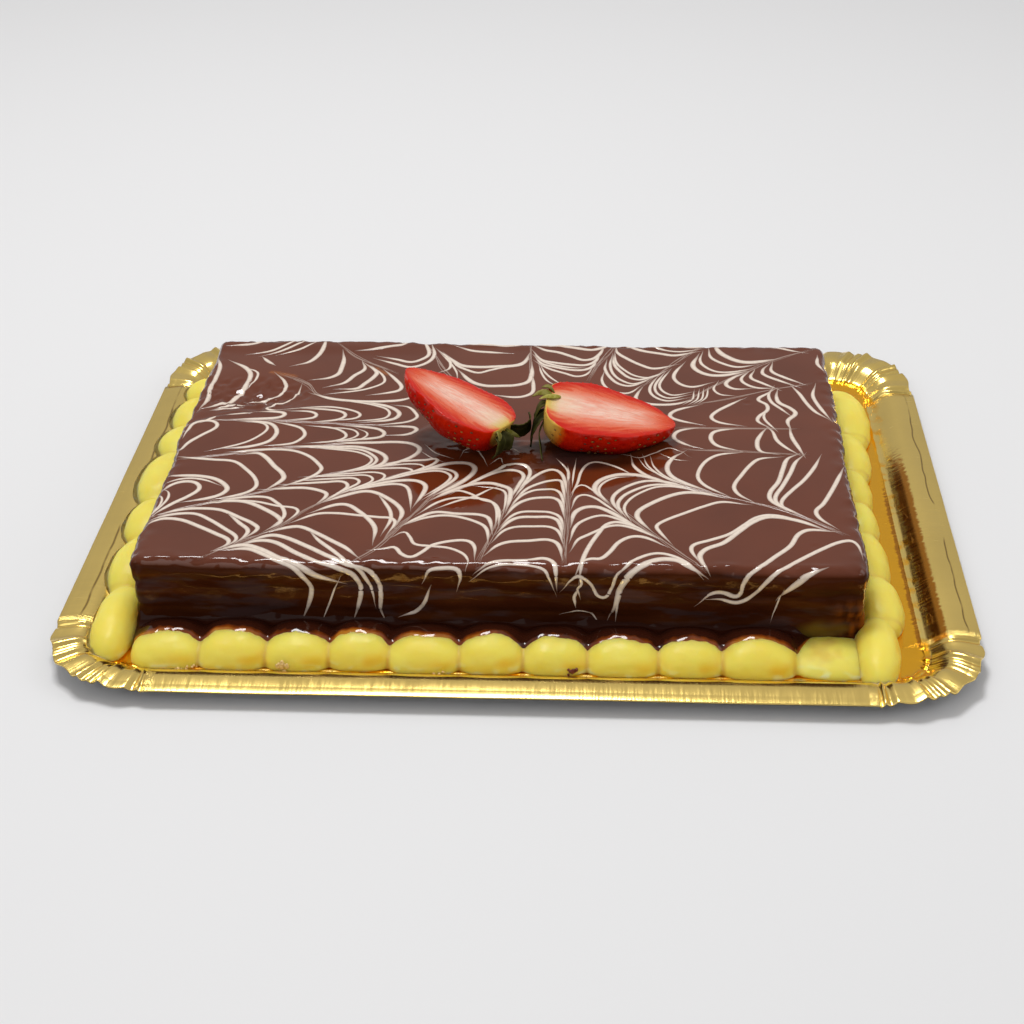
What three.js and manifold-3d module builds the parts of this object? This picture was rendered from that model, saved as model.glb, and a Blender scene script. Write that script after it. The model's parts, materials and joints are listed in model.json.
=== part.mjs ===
// A chocolate biscuit layer cake on its gold card tray: a glazed block, a border of
// piped custard mounds round its foot and two strawberry halves on its top.
// Millimetres, +Z up, +X along the long side. The origin is the middle of the tray's
// flat underside.

import * as THREE from "three";
import { mergeVertices } from "three/addons/utils/BufferGeometryUtils.js";
import Module from "manifold-3d";

const wasm = await Module();
wasm.setup();

// Driving dimensions

const CLEARANCE = 0.3;                  // left free where two pieces touch
const FAR = 100;                        // well past any piece, for the boxes that cut

const TRAY = {
  length: 280,
  width: 220,
  board: 0.8,                           // thickness of the card
  cornerRadius: 34,
  cornerPower: 2.5,                     // exponent of the corner's outline, 2 is round
  cornerLift: 1.5,                      // how much higher the rim stands mid corner
  // Upper face of the rim, from its outer edge inward: [inset, height above the base]
  rim: [[0, 4.4], [6.8, 5.0], [9.3, 4.7], [12, 3.4], [16, 0.7], [19.3, 0]],
  pleatsPerCorner: 11,
  pleatHeight: 1.0,                     // at the outer edge, none where the rim ends
  pleatScallop: 0.8,                    // how far the outer edge weaves inward
  stepsPerPleat: 4,
};

const CAKE = {
  centreX: -5.3,                        // the cake stands a little left of the middle
  length: 222,
  width: 148.5,
  height: 24.9,
  layers: 3,                            // biscuit layers that show through the glaze
  layerGroove: 0.9,
  cornerRadius: 4,
  edgeRadius: 2.5,
  faceWave: 0.6,                        // how far the sides stand in and out at mid height
  faceWaveLengths: [13, 5.5],
  topWave: 0.35,                        // and the top, up and down
  topWaveLengths: [21, 17],
};

const DENT = { x: -92, y: 34, length: 18, width: 10, depth: 1.4 };

// Piped custard, one entry for each side of the cake: where the first mound starts, the
// mounds' lengths in piping order, how far each one reaches out from the side's nominal
// plane, how high each one is, and the exponent of a foot's outline, which is more square
// where the mounds press on each other.
const CUSTARD = {
  faceGap: 1.0,                         // from the nominal side of the cake to a mound
  lengthOverlap: 1.13,                  // a mound's full length over its cut length
};

const CUSTARD_SIDES = [
  { name: "front", turn: 0, start: -108, power: 5,
    lengths: [20, 20, 19, 18, 21, 19, 19, 21, 19, 21, 21],
    reaches: [21.3, 21.3, 21.1, 20, 21.4, 20.6, 20.6, 21, 20.4, 21.1, 20.4],
    heights: [8.2, 8.9, 8.6, 8.9, 8.1, 8.8, 8.3, 8.1, 8.2, 8.8, 5.4] },
  { name: "right", turn: 90, start: -95, power: 2.6,
    lengths: [26, 23, 25, 19, 21, 25, 32],
    reaches: [11, 14.6, 13.2, 12.4, 12.6, 14.6, 17.6],
    heights: [8.3, 8.2, 8.3, 8.3, 8.0, 8.2, 8.2] },
  { name: "back", turn: 180, start: -110, power: 5,
    lengths: [20, 20, 20, 20, 20, 20, 20, 20, 20, 20, 20],
    reaches: [17.4, 18, 17.7, 18.9, 17.4, 18.5, 18.7, 18.2, 17.2, 17.8, 18.5],
    heights: [8.8, 8.7, 9.4, 9.0, 8.4, 8.9, 9.5, 9.4, 9.1, 8.8, 9.2] },
  { name: "left", turn: 270, start: -79, power: 2.6,
    lengths: [14, 22, 19, 31, 24, 27, 33],
    reaches: [16.9, 18.2, 19.4, 20.2, 18, 16.8, 14],
    heights: [9.3, 9.4, 9.5, 10.0, 10.0, 9.8, 9.7] },
];

// Strawberry halves lie on their rounded backs. The stem end is placed from the middle
// of the cake's top, the axis runs from there to the tip, and angles are in degrees.
const STRAWBERRY = { length: 44, halfWidth: 15.5, stemPower: 0.28, tipPower: 0.72 };

const STRAWBERRY_HALVES = [
  { name: "left", stem: [1.3, -9.2, 11], yaw: 150.6, pitch: 16.1, roll: 9.8,
    thickness: 12, leaves: 4, leafLength: 7.5 },
  { name: "right", stem: [12.4, 2.9, 15], yaw: -0.3, pitch: -10.9, roll: 4.3,
    thickness: 12.5, leaves: 5, leafLength: 10 },
];

// Leaves fan out from a hub below the cut face, behind the berry's stem end.
const LEAF = { thickness: 0.7, standOff: 0.8, hubDepth: 2, hubRadius: 2.2, web: 2,
  spread: 220, curl: 1.8, wave: 0.4, stepsPerLobe: 4 };

// Materials

const goldCard = new THREE.MeshStandardMaterial({ color: 0xcdaf64, roughness: 0.3, metalness: 1 });
const glaze = new THREE.MeshStandardMaterial({ color: 0x4a2a20, roughness: 0.15, metalness: 0 });
const custard = new THREE.MeshStandardMaterial({ color: 0xe1cd5a, roughness: 0.4, metalness: 0 });
const fruit = new THREE.MeshStandardMaterial({ color: 0xc8281e, roughness: 0.3, metalness: 0 });
const leafGreen = new THREE.MeshStandardMaterial({ color: 0x3a4a1e, roughness: 0.6, metalness: 0 });

// Helpers

const radians = THREE.MathUtils.degToRad;

// A BufferGeometry from points and triangles of point numbers.
function geometryFrom(points, triangles) {
  const geometry = new THREE.BufferGeometry();
  geometry.setFromPoints(points);
  geometry.setIndex(triangles.flat());
  geometry.computeVertexNormals();
  return geometry;
}

// A closed body through rings of equally many points. The rings run anticlockwise seen
// from the last one, and a fan to a centre point closes each end.
function loft(rings, firstCentre, lastCentre) {
  const count = rings[0].length;
  const points = [firstCentre, ...rings.flat(), lastCentre];
  const last = points.length - 1;
  const at = (ring, i) => 1 + ring * count + (i % count);
  const triangles = [];
  for (let i = 0; i < count; i += 1) {
    triangles.push([0, at(0, i + 1), at(0, i)]);
    for (let ring = 0; ring < rings.length - 1; ring += 1) {
      triangles.push([at(ring, i), at(ring, i + 1), at(ring + 1, i + 1)]);
      triangles.push([at(ring, i), at(ring + 1, i + 1), at(ring + 1, i)]);
    }
    triangles.push([last, at(rings.length - 1, i), at(rings.length - 1, i + 1)]);
  }
  return geometryFrom(points, triangles);
}

function toSolid(geometry) {
  const bare = geometry.clone();
  bare.deleteAttribute("normal");
  bare.deleteAttribute("uv");
  const merged = mergeVertices(bare);
  const vertProperties = new Float32Array(merged.attributes.position.array);
  const triVerts = new Uint32Array(merged.index.array);
  return new wasm.Manifold(new wasm.Mesh({ numProp: 3, vertProperties, triVerts }));
}

function toGeometry(solid) {
  const mesh = solid.getMesh();
  const geometry = new THREE.BufferGeometry();
  geometry.setAttribute("position", new THREE.BufferAttribute(mesh.vertProperties, 3));
  geometry.setIndex(new THREE.BufferAttribute(mesh.triVerts, 1));
  geometry.computeVertexNormals();
  return geometry;
}

// A box between two corners.
function boxBetween(low, high) {
  const size = new THREE.Vector3().subVectors(high, low);
  const middle = new THREE.Vector3().addVectors(low, high).multiplyScalar(0.5);
  return new THREE.BoxGeometry(size.x, size.y, size.z).translate(middle.x, middle.y, middle.z);
}

// Points and outward directions round a rectangle with round corners, anticlockwise
// from the right end of the front side. power is the exponent of a corner's outline, and
// along, across and round are the steps on a long side, a short side and a corner.
function roundedRectangle(length, width, radius, power, along, across, round) {
  const stations = [];
  const corners = [[1, -1], [1, 1], [-1, 1], [-1, -1]];
  corners.forEach(([signX, signY], k) => {
    const centre = new THREE.Vector2(signX * (length / 2 - radius), signY * (width / 2 - radius));
    for (let i = 0; i <= round; i += 1) {
      const angle = radians(k * 90 - 90 + (i * 90) / round);
      const out = new THREE.Vector2(Math.cos(angle), Math.sin(angle));
      const reach = (Math.abs(out.x) ** power + Math.abs(out.y) ** power) ** (-1 / power);
      const point = centre.clone().addScaledVector(out, radius * reach);
      stations.push({ point, out, turn: i / round, corner: true });
    }
    const onLongSide = k % 2 === 1;
    const steps = onLongSide ? along : across;
    const span = (onLongSide ? length : width) - 2 * radius;
    const out = new THREE.Vector2(Math.cos(radians(k * 90)), Math.sin(radians(k * 90)));
    const forward = new THREE.Vector2(-out.y, out.x);
    const start = centre.clone().addScaledVector(out, radius);
    for (let i = 1; i < steps; i += 1) {
      const point = start.clone().addScaledVector(forward, (span * i) / steps);
      stations.push({ point, out, turn: 0, corner: false });
    }
  });
  return stations;
}

// Tray: one card with a raised rim, gathered into pleats round each corner

function trayRing(stations, inset, height) {
  const fade = 1 - inset / TRAY.rim.at(-1)[0];
  return stations.map(({ point, out, turn, corner }) => {
    const wave = corner ? Math.sin(2 * Math.PI * TRAY.pleatsPerCorner * turn) : 0;
    const weave = corner ? (TRAY.pleatScallop / 2) * (1 + wave) : 0;
    const depth = inset + weave * fade;
    const lift = corner ? TRAY.cornerLift * Math.sin(Math.PI * turn) : 0;
    const z = TRAY.board + height + fade * (TRAY.pleatHeight * wave + lift);
    return new THREE.Vector3(point.x - out.x * depth, point.y - out.y * depth, z);
  });
}

function trayRings() {
  const steps = TRAY.pleatsPerCorner * TRAY.stepsPerPleat;
  const { length, width, cornerRadius, cornerPower } = TRAY;
  const stations = roundedRectangle(length, width, cornerRadius, cornerPower, 2, 2, steps);
  return TRAY.rim.map(([inset, height]) => trayRing(stations, inset, height));
}

const lowered = (ring, drop) => ring.map((p) => new THREE.Vector3(p.x, p.y, p.z - drop));

function makeTray() {
  const upper = trayRings();
  const under = upper.map((ring) => lowered(ring, TRAY.board)).reverse();
  const middle = new THREE.Vector3(0, 0, 0);
  const top = new THREE.Vector3(0, 0, TRAY.board);
  return new THREE.Mesh(loft([...under, ...upper], middle, top), goldCard);
}

// The space that the tray takes, with the clearance added above it.
function trayKeepOut() {
  const upper = trayRings().map((ring) => lowered(ring, -CLEARANCE));
  const deep = upper[0].map((p) => new THREE.Vector3(p.x, p.y, -FAR));
  const middle = new THREE.Vector3(0, 0, -FAR);
  return toSolid(loft([deep, ...upper], middle, new THREE.Vector3(0, 0, TRAY.board + CLEARANCE)));
}

// Cake: one glazed block whose sides show its layers as soft bands

const cakeFloor = TRAY.board + CLEARANCE;
const cakeTop = cakeFloor + CAKE.height;

// How far a side stands out of its nominal plane, at an arc length and a height.
function sideRelief(arc, z) {
  const layerHeight = CAKE.height / CAKE.layers;
  const part = (z / layerHeight) % 1;
  const band = Math.sqrt(Math.sin(Math.PI * Math.min(Math.max(part, 0), 1)));
  const layer = Math.floor(z / layerHeight);
  const [slow, quick] = CAKE.faceWaveLengths.map((wave, i) => Math.sin(arc / wave + (i + 2) * layer));
  const growth = 0.6 + (0.8 * z) / CAKE.height;
  return CAKE.layerGroove * (band - 1) + CAKE.faceWave * growth * (0.6 * slow + 0.4 * quick);
}

// How far the top stands above its nominal plane.
function topRelief(x, y) {
  const dent = Math.exp(-(((x - DENT.x) / DENT.length) ** 2) - ((y - DENT.y) / DENT.width) ** 2);
  const wave = Math.sin(x / CAKE.topWaveLengths[0]) * Math.sin(y / CAKE.topWaveLengths[1]);
  return CAKE.topWave * wave - DENT.depth * dent;
}

function cakeRing(stations, z, inset) {
  let arc = 0;
  return stations.map(({ point, out }, i) => {
    arc += i === 0 ? 0 : point.distanceTo(stations[i - 1].point);
    const reach = sideRelief(arc, Math.min(z, CAKE.height - CAKE.edgeRadius)) - inset;
    return new THREE.Vector3(point.x + out.x * reach, point.y + out.y * reach, z);
  });
}

function makeCake() {
  const stations = roundedRectangle(CAKE.length, CAKE.width, CAKE.cornerRadius, 2, 21, 14, 3);
  const rings = [];
  const layerHeight = CAKE.height / CAKE.layers;
  for (let layer = 0; layer < CAKE.layers; layer += 1) {
    const parts = layer === CAKE.layers - 1 ? [0, 0.25] : [0, 0.25, 0.75];
    parts.forEach((part) => rings.push(cakeRing(stations, (layer + part) * layerHeight, 0)));
  }
  for (const angle of [0, 30, 60, 90].map(radians)) {
    const z = CAKE.height - CAKE.edgeRadius * (1 - Math.sin(angle));
    rings.push(cakeRing(stations, z, CAKE.edgeRadius * (1 - Math.cos(angle))));
  }
  const edge = rings.at(-1);
  for (const share of [0.93, 0.82, 0.65, 0.4]) {
    rings.push(edge.map((p) => new THREE.Vector3(p.x * share, p.y * share, CAKE.height)));
  }
  rings.slice(-5).flat().forEach((p) => {
    p.z += topRelief(p.x, p.y);
  });
  const top = new THREE.Vector3(0, 0, CAKE.height + topRelief(0, 0));
  return new THREE.Mesh(loft(rings, new THREE.Vector3(0, 0, 0), top), glaze);
}

// Custard: each mound is a flattened dome with a squarish foot, cut where it meets its
// neighbours, the cake's side and the tray. x runs along the side and y towards the cake.

function moundDome(length, depth, height, power) {
  const rings = [];
  const count = 16;
  for (const rise of [0, 30, 60].map(radians)) {
    const ring = [];
    for (let i = 0; i < count; i += 1) {
      const angle = (2 * Math.PI * (i + 0.5)) / count;
      const c = Math.cos(angle);
      const s = Math.sin(angle);
      const reach = (Math.abs(c) ** power + Math.abs(s) ** power) ** (-1 / power) * Math.cos(rise);
      const z = height * Math.sin(rise);
      ring.push(new THREE.Vector3((length / 2) * c * reach, (depth / 2) * s * reach, z));
    }
    rings.push(ring);
  }
  return loft(rings, new THREE.Vector3(0, 0, 0), new THREE.Vector3(0, 0, height));
}

function makeCustardSide({ name, turn, start, power, lengths, reaches, heights }, keepOut) {
  const group = new THREE.Group();
  const halfSpan = turn % 180 === 0 ? CAKE.width / 2 : CAKE.length / 2;
  const toTray = new THREE.Matrix4().makeRotationZ(radians(turn));
  toTray.setPosition(CAKE.centreX, 0, TRAY.board);
  let from = start;
  lengths.forEach((length, i) => {
    const moundDepth = reaches[i] - CUSTARD.faceGap;
    const middle = from + length / 2;
    const dome = moundDome(length * CUSTARD.lengthOverlap, moundDepth, heights[i], power);
    dome.translate(middle, -halfSpan - CUSTARD.faceGap - moundDepth / 2, 0);
    dome.applyMatrix4(toTray);
    const low = new THREE.Vector3(from + CLEARANCE / 2, -halfSpan - FAR, -FAR);
    const high = new THREE.Vector3(from + length - CLEARANCE / 2, -halfSpan - CUSTARD.faceGap, FAR);
    const cell = boxBetween(low, high).applyMatrix4(toTray);
    const solid = toSolid(dome).intersect(toSolid(cell)).subtract(keepOut);
    const mound = new THREE.Mesh(toGeometry(solid), custard);
    mound.name = `custard_${name}_${i + 1}`;
    group.add(mound);
    from += length;
  });
  return group;
}

// Strawberries: half of a rounded cone, cut face up, its back flattened by the glaze

// The berry's half width at a share of the way from stem to tip.
function berryRadius(share) {
  const { halfWidth, stemPower, tipPower } = STRAWBERRY;
  const shape = (t) => t ** stemPower * (1 - t) ** tipPower;
  return (halfWidth * shape(share)) / shape(stemPower / (stemPower + tipPower));
}

function makeBerryHalf(half, placement) {
  const sections = 11;
  const arcSteps = 12;
  const rings = [];
  for (let k = 1; k < sections; k += 1) {
    const share = 0.5 - 0.5 * Math.cos((Math.PI * k) / sections);
    const radius = berryRadius(share);
    const depth = (radius * half.thickness) / STRAWBERRY.halfWidth;
    const ring = [];
    for (let i = 0; i <= arcSteps; i += 1) {
      const angle = Math.PI + (Math.PI * i) / arcSteps;
      const y = radius * Math.cos(angle);
      ring.push(new THREE.Vector3(share * STRAWBERRY.length, y, depth * Math.sin(angle)));
    }
    rings.push(ring);
  }
  const stem = new THREE.Vector3(0, 0, -1);
  const tip = new THREE.Vector3(STRAWBERRY.length, 0, -0.5);
  const whole = loft(rings, stem, tip).applyMatrix4(placement);
  const solid = toSolid(whole).intersect(spaceAboveCake());
  const mesh = new THREE.Mesh(toGeometry(solid), fruit);
  mesh.name = `strawberry_${half.name}`;
  return mesh;
}

function spaceAboveCake() {
  const low = new THREE.Vector3(-FAR, -FAR, CLEARANCE);
  return toSolid(boxBetween(low, new THREE.Vector3(FAR, FAR, FAR)));
}

// A thin sheet over a grid of points: both faces have the same triangles, and a wall
// closes its border. offset runs from the lower face to the upper one.
function sheet(grid, offset) {
  const rows = grid.length;
  const columns = grid[0].length;
  const lower = grid.flat();
  const upper = lower.map((p) => p.clone().add(offset));
  const at = (r, c, face) => face * rows * columns + r * columns + c;
  const triangles = [];
  for (let r = 0; r < rows - 1; r += 1) {
    for (let c = 0; c < columns - 1; c += 1) {
      triangles.push([at(r, c, 1), at(r + 1, c, 1), at(r + 1, c + 1, 1)]);
      triangles.push([at(r, c, 1), at(r + 1, c + 1, 1), at(r, c + 1, 1)]);
      triangles.push([at(r, c, 0), at(r + 1, c + 1, 0), at(r + 1, c, 0)]);
      triangles.push([at(r, c, 0), at(r, c + 1, 0), at(r + 1, c + 1, 0)]);
    }
  }
  const wall = (a, b) => {
    triangles.push([at(...a, 0), at(...b, 0), at(...b, 1)]);
    triangles.push([at(...a, 0), at(...b, 1), at(...a, 1)]);
  };
  for (let r = 0; r < rows - 1; r += 1) {
    wall([r, 0], [r + 1, 0]);
    wall([r + 1, columns - 1], [r, columns - 1]);
  }
  for (let c = 0; c < columns - 1; c += 1) {
    wall([0, c + 1], [0, c]);
    wall([rows - 1, c], [rows - 1, c + 1]);
  }
  return geometryFrom([...lower, ...upper], triangles);
}

// A fan of leaves round the lower half of the stem end, curling away from the berry.
function makeLeaves(half, placement) {
  const steps = half.leaves * LEAF.stepsPerLobe;
  const grid = [];
  for (let i = 0; i <= steps; i += 1) {
    const angle = radians(LEAF.spread) * (i / steps - 0.5);
    const lobe = Math.abs(Math.sin((Math.PI * i) / LEAF.stepsPerLobe)) ** 0.7;
    const row = [];
    for (const share of [0, 0.5, 1]) {
      const lobeLength = half.leafLength - LEAF.hubRadius - LEAF.web;
      const reach = LEAF.hubRadius + share * (LEAF.web + lobeLength * lobe);
      const lean = LEAF.curl * (reach / half.leafLength) ** 2 + LEAF.wave * Math.sin(3 * angle) * share;
      const y = reach * Math.sin(angle);
      row.push(new THREE.Vector3(-LEAF.standOff - lean, y, -LEAF.hubDepth - reach * Math.cos(angle)));
    }
    grid.push(row);
  }
  const leaves = sheet(grid, new THREE.Vector3(-LEAF.thickness, 0, 0)).applyMatrix4(placement);
  const solid = toSolid(leaves).intersect(spaceAboveCake());
  const mesh = new THREE.Mesh(toGeometry(solid), leafGreen);
  mesh.name = `leaves_${half.name}`;
  return mesh;
}

function makeToppings() {
  const group = new THREE.Group();
  for (const half of STRAWBERRY_HALVES) {
    const turn = new THREE.Euler(radians(half.roll), radians(-half.pitch), radians(half.yaw), "ZYX");
    const placement = new THREE.Matrix4().makeRotationFromEuler(turn).setPosition(...half.stem);
    group.add(makeBerryHalf(half, placement), makeLeaves(half, placement));
  }
  return group;
}

// Assembly

const model = new THREE.Group();

const tray = makeTray();
tray.name = "tray";
model.add(tray);

const cake = makeCake();
cake.name = "cake";
cake.position.set(CAKE.centreX, 0, cakeFloor);
model.add(cake);

const keepOut = trayKeepOut();
for (const side of CUSTARD_SIDES) model.add(makeCustardSide(side, keepOut));

const toppings = makeToppings();
toppings.position.set(CAKE.centreX, 0, cakeTop);
model.add(toppings);

export default model;
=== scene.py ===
"""Dresses the solids of a chocolate biscuit layer cake on its gold card tray: glaze, a
feathered icing web, piped custard, two strawberry halves and their leaves.
Shapes are worked out in millimetres and finished in metres."""

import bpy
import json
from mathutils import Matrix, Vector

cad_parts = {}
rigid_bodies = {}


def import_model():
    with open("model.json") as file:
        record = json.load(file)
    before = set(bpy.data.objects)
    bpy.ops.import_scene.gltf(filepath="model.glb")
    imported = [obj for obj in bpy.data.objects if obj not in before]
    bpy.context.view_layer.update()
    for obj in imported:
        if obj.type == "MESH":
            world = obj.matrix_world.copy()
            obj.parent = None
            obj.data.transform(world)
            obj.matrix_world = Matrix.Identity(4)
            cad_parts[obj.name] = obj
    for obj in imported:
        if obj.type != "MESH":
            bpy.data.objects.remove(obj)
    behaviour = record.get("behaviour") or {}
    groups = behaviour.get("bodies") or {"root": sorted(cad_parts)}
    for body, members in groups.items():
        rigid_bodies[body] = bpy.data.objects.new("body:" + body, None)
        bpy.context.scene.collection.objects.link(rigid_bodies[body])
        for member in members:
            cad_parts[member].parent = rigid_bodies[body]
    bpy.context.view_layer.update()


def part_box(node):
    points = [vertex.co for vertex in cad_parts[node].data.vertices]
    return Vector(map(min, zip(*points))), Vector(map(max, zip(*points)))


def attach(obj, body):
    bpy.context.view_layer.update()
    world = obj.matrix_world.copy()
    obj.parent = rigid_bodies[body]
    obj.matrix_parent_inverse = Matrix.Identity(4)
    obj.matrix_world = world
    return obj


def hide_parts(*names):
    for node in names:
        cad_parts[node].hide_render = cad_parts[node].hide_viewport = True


bl_info = {
    "name": "Chocolate biscuit layer cake",
    "version": (1, 0, 0),
    "blender": (4, 5, 0),
    "location": "3D View > Sidebar > Cake",
    "description": "Glaze, icing, custard, strawberries and gold card for a layer cake",
    "category": "Object",
}

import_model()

import functools
import json
import math
import random
from collections import namedtuple

import bmesh
import bpy
from bpy.props import FloatProperty, FloatVectorProperty, IntProperty, PointerProperty
from mathutils import Matrix, Quaternion, Vector, noise
from mathutils.bvhtree import BVHTree
from mathutils.geometry import interpolate_bezier, intersect_point_line
from mathutils.kdtree import KDTree

MM = 0.001
WHITE = (1.0, 1.0, 1.0)

# In millimetres: the cake's half length and half width without the glaze's relief, and how
# high its top and the tray's base stand.
CAKE_HALF_X, CAKE_HALF_Y = 111.0, 74.25
CAKE_TOP, TRAY_BASE = 26.0, 0.8


# ---- sizes and colours that a user would change ------------------------------------

def length(name, description, default):
    return FloatProperty(name=name, description=description, default=default * MM,
                         min=0.0, precision=4, unit="LENGTH", subtype="DISTANCE")


def colour(name, description, default):
    return FloatVectorProperty(name=name, description=description, default=default,
                               min=0.0, max=1.0, size=3, subtype="COLOR")


class CakeTraySizes(bpy.types.PropertyGroup):
    board: length("Board", "Thickness of the card", 0.8)
    corner: length("Corner", "Size of the tray's pleated corners", 34)
    rim: length("Rim", "Width of the raised rim seen from above", 19.3)
    pleat_height: length("Pleat height", "How far a pleat stands above the rim", 1.0)
    scallop: length("Scallop", "How far the pleated edge weaves in and out", 0.8)
    corner_lift: length("Corner lift", "How much higher the rim is mid corner", 1.5)
    pleats: IntProperty(name="Pleats", description="Pleats at each corner", default=11, min=1)
    gold: colour("Gold", "Colour of the foil", (0.98, 0.715, 0.215))


class CakeGlazeSizes(bpy.types.PropertyGroup):
    grain: length("Grain", "Size of the glaze mesh's faces", 0.95)
    corner: length("Corner", "Radius of the cake's upright edges", 4)
    edge: length("Edge", "Radius round the top", 3.0)
    layer_groove: length("Layer groove", "Depth of the grooves between the layers", 0.7)
    # The side glaze is painted darker than the top glaze, though it is one glaze: painted shade on
    # the sides, painted sky reflection on the top.
    milk: colour("Top glaze", "Colour of the glaze on the top", (0.126, 0.0265, 0.0078))
    dark: colour("Side glaze", "Colour of the glaze on the sides", (0.062, 0.0145, 0.0046))
    icing: colour("Icing", "Colour of the piped web", (0.84, 0.72, 0.61))
    icing_height: length("Icing height", "How far the web stands proud", 0.06)


class CakeCustardSizes(bpy.types.PropertyGroup):
    grain: length("Grain", "Size of the custard mesh's faces", 0.6)
    ripple: length("Ripple", "Height of the piping marks", 0.22)
    custard: colour("Custard", "Colour of the custard", (1.0, 0.70, 0.10))
    # The deep custard colour is painted shade on the mounds' lower sides.
    deep: colour("Deep custard", "Colour where the custard is thick", (0.93, 0.50, 0.016))


class CakeBerrySizes(bpy.types.PropertyGroup):
    grain: length("Grain", "Size of the berry mesh's faces", 0.45)
    skin: colour("Skin", "Colour of the berries' skin", (0.60, 0.007, 0.0016))
    flesh: colour("Flesh", "Colour of the cut flesh", (0.80, 0.225, 0.135))
    leaf: colour("Leaf", "Colour of the leaves", (0.010, 0.010, 0.003))


SIZES = {"cake_tray": CakeTraySizes, "cake_glaze": CakeGlazeSizes,
         "cake_custard": CakeCustardSizes, "cake_berry": CakeBerrySizes}


# ---- helpers -------------------------------------------------------------------------

@functools.cache
def mm_box(node):
    low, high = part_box(node)
    return Vector(low) / MM, Vector(high) / MM


def smoothstep(low, high, value):
    share = min(max((value - low) / (high - low), 0.0), 1.0)
    return share * share * (3 - 2 * share)


def blend(low, high, share):
    return low + (high - low) * share


def noise_at(x, y, z=0.0):
    """Smooth noise between about -1 and 1."""
    return noise.noise(Vector((x, y, z)))


def heading(a, b):
    """The length of a flat vector, and the cosine and sine of its direction."""
    flat = math.hypot(a, b)
    return (flat, a / flat, b / flat) if flat > 1e-6 else (flat, 1, 0)


def boxy_reach(c, s, power):
    """How far a rounded square with half width 1 reaches in a direction."""
    return (abs(c) ** power + abs(s) ** power) ** (-1 / power)


def finished(name, bm, material, slot, replaces=()):
    """Makes a bmesh in millimetres a smooth piece that rides with the cake."""
    bmesh.ops.scale(bm, vec=(MM, MM, MM), verts=bm.verts)
    mesh = bpy.data.meshes.new(name)
    bm.to_mesh(mesh)
    bm.free()
    mesh.shade_smooth()
    mesh.materials.append(material)
    piece = bpy.data.objects.new(name, mesh)
    bpy.context.scene.collection.objects.link(piece)
    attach(piece, "root")
    if replaces:
        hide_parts(*replaces)
    return piece


def walled(piece, thickness, offset):
    """Gives a sheet its thickness."""
    wall = piece.modifiers.new("wall", "SOLIDIFY")
    wall.thickness = thickness
    wall.offset = offset
    return wall


def remeshed(bm, voxel, rounds):
    """The union of closed shapes as one even skin of quads, smoothed a few times."""
    mesh = bpy.data.meshes.new("rough")
    bm.to_mesh(mesh)
    bm.free()
    rough = bpy.data.objects.new("rough", mesh)
    bpy.context.scene.collection.objects.link(rough)
    remesh = rough.modifiers.new("remesh", "REMESH")
    remesh.mode = "VOXEL"
    remesh.voxel_size = voxel
    bpy.context.view_layer.update()
    skin = bmesh.new()
    skin.from_object(rough, bpy.context.evaluated_depsgraph_get())
    bpy.data.objects.remove(rough)
    bpy.data.meshes.remove(mesh)
    for _ in range(rounds):
        bmesh.ops.smooth_vert(skin, verts=skin.verts, factor=0.5,
                              use_axis_x=True, use_axis_y=True, use_axis_z=True)
    return skin


def surface_of(name):
    """A tree in metres that finds points on a finished piece."""
    piece = bpy.data.objects[name]
    return BVHTree.FromObject(piece, bpy.context.evaluated_depsgraph_get())


def height_under(tree, x, y, default):
    """Height in millimetres of a piece's upper face at a place."""
    hit = tree.ray_cast(Vector((x * MM, y * MM, 0.2)), Vector((0, 0, -1)))[0]
    return default if hit is None else hit.z / MM


def smooth_path(waypoints, spacing):
    """Evenly spaced points on a smooth line through the waypoints."""
    knots = [Vector(point) for point in waypoints]
    dense = []
    for i, (start, end) in enumerate(zip(knots, knots[1:])):
        before = knots[max(i - 1, 0)]
        after = knots[min(i + 2, len(knots) - 1)]
        reach = (end - start).length / 3
        leave = start + (end - before).normalized() * reach
        arrive = end - (after - start).normalized() * reach
        dense += interpolate_bezier(start, leave, arrive, end, 15)[:-1]
    dense.append(knots[-1])
    runs = [0.0]
    for a, b in zip(dense, dense[1:]):
        runs.append(runs[-1] + (b - a).length)
    count = max(int(runs[-1] / spacing), 4)
    points, k = [], 0
    for i in range(count + 1):
        want = runs[-1] * i / count
        while k < len(runs) - 2 and runs[k + 1] < want:
            k += 1
        share = (want - runs[k]) / max(runs[k + 1] - runs[k], 1e-9)
        points.append(dense[k].lerp(dense[k + 1], min(share, 1.0)))
    return points


def path_at(path, along):
    """The point at a share of an evenly spaced path, and the way on from there."""
    last = len(path) - 1
    i = min(round(along * last), last)
    return path[i], path[min(i + 1, last)] - path[max(i - 1, 0)]


def float_layers(bm, *names):
    return [bm.verts.layers.float.new(name) for name in names]


def boundary(bm):
    return [edge for edge in bm.edges if edge.is_boundary]


def face_up(bm):
    """Turns a sheet's faces so that they point up."""
    bmesh.ops.recalc_face_normals(bm, faces=bm.faces)
    if sum(face.normal.z for face in bm.faces) < 0:
        bmesh.ops.reverse_faces(bm, faces=bm.faces)


# ---- material helpers ------------------------------------------------------------------

def scaled(tone, share):
    """A colour made darker or lighter."""
    return tuple(c * share for c in tone)


def new_material(name, colour, **sockets):
    """Makes a material, with its node tree and its shader."""
    material = bpy.data.materials.new(name)
    material.use_nodes = True
    shader = material.node_tree.nodes["Principled BSDF"]
    shader.inputs["Base Color"].default_value = (*colour, 1)
    for key, value in sockets.items():
        shader.inputs[key.replace("_", " ")].default_value = value
    return material, material.node_tree, shader


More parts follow.
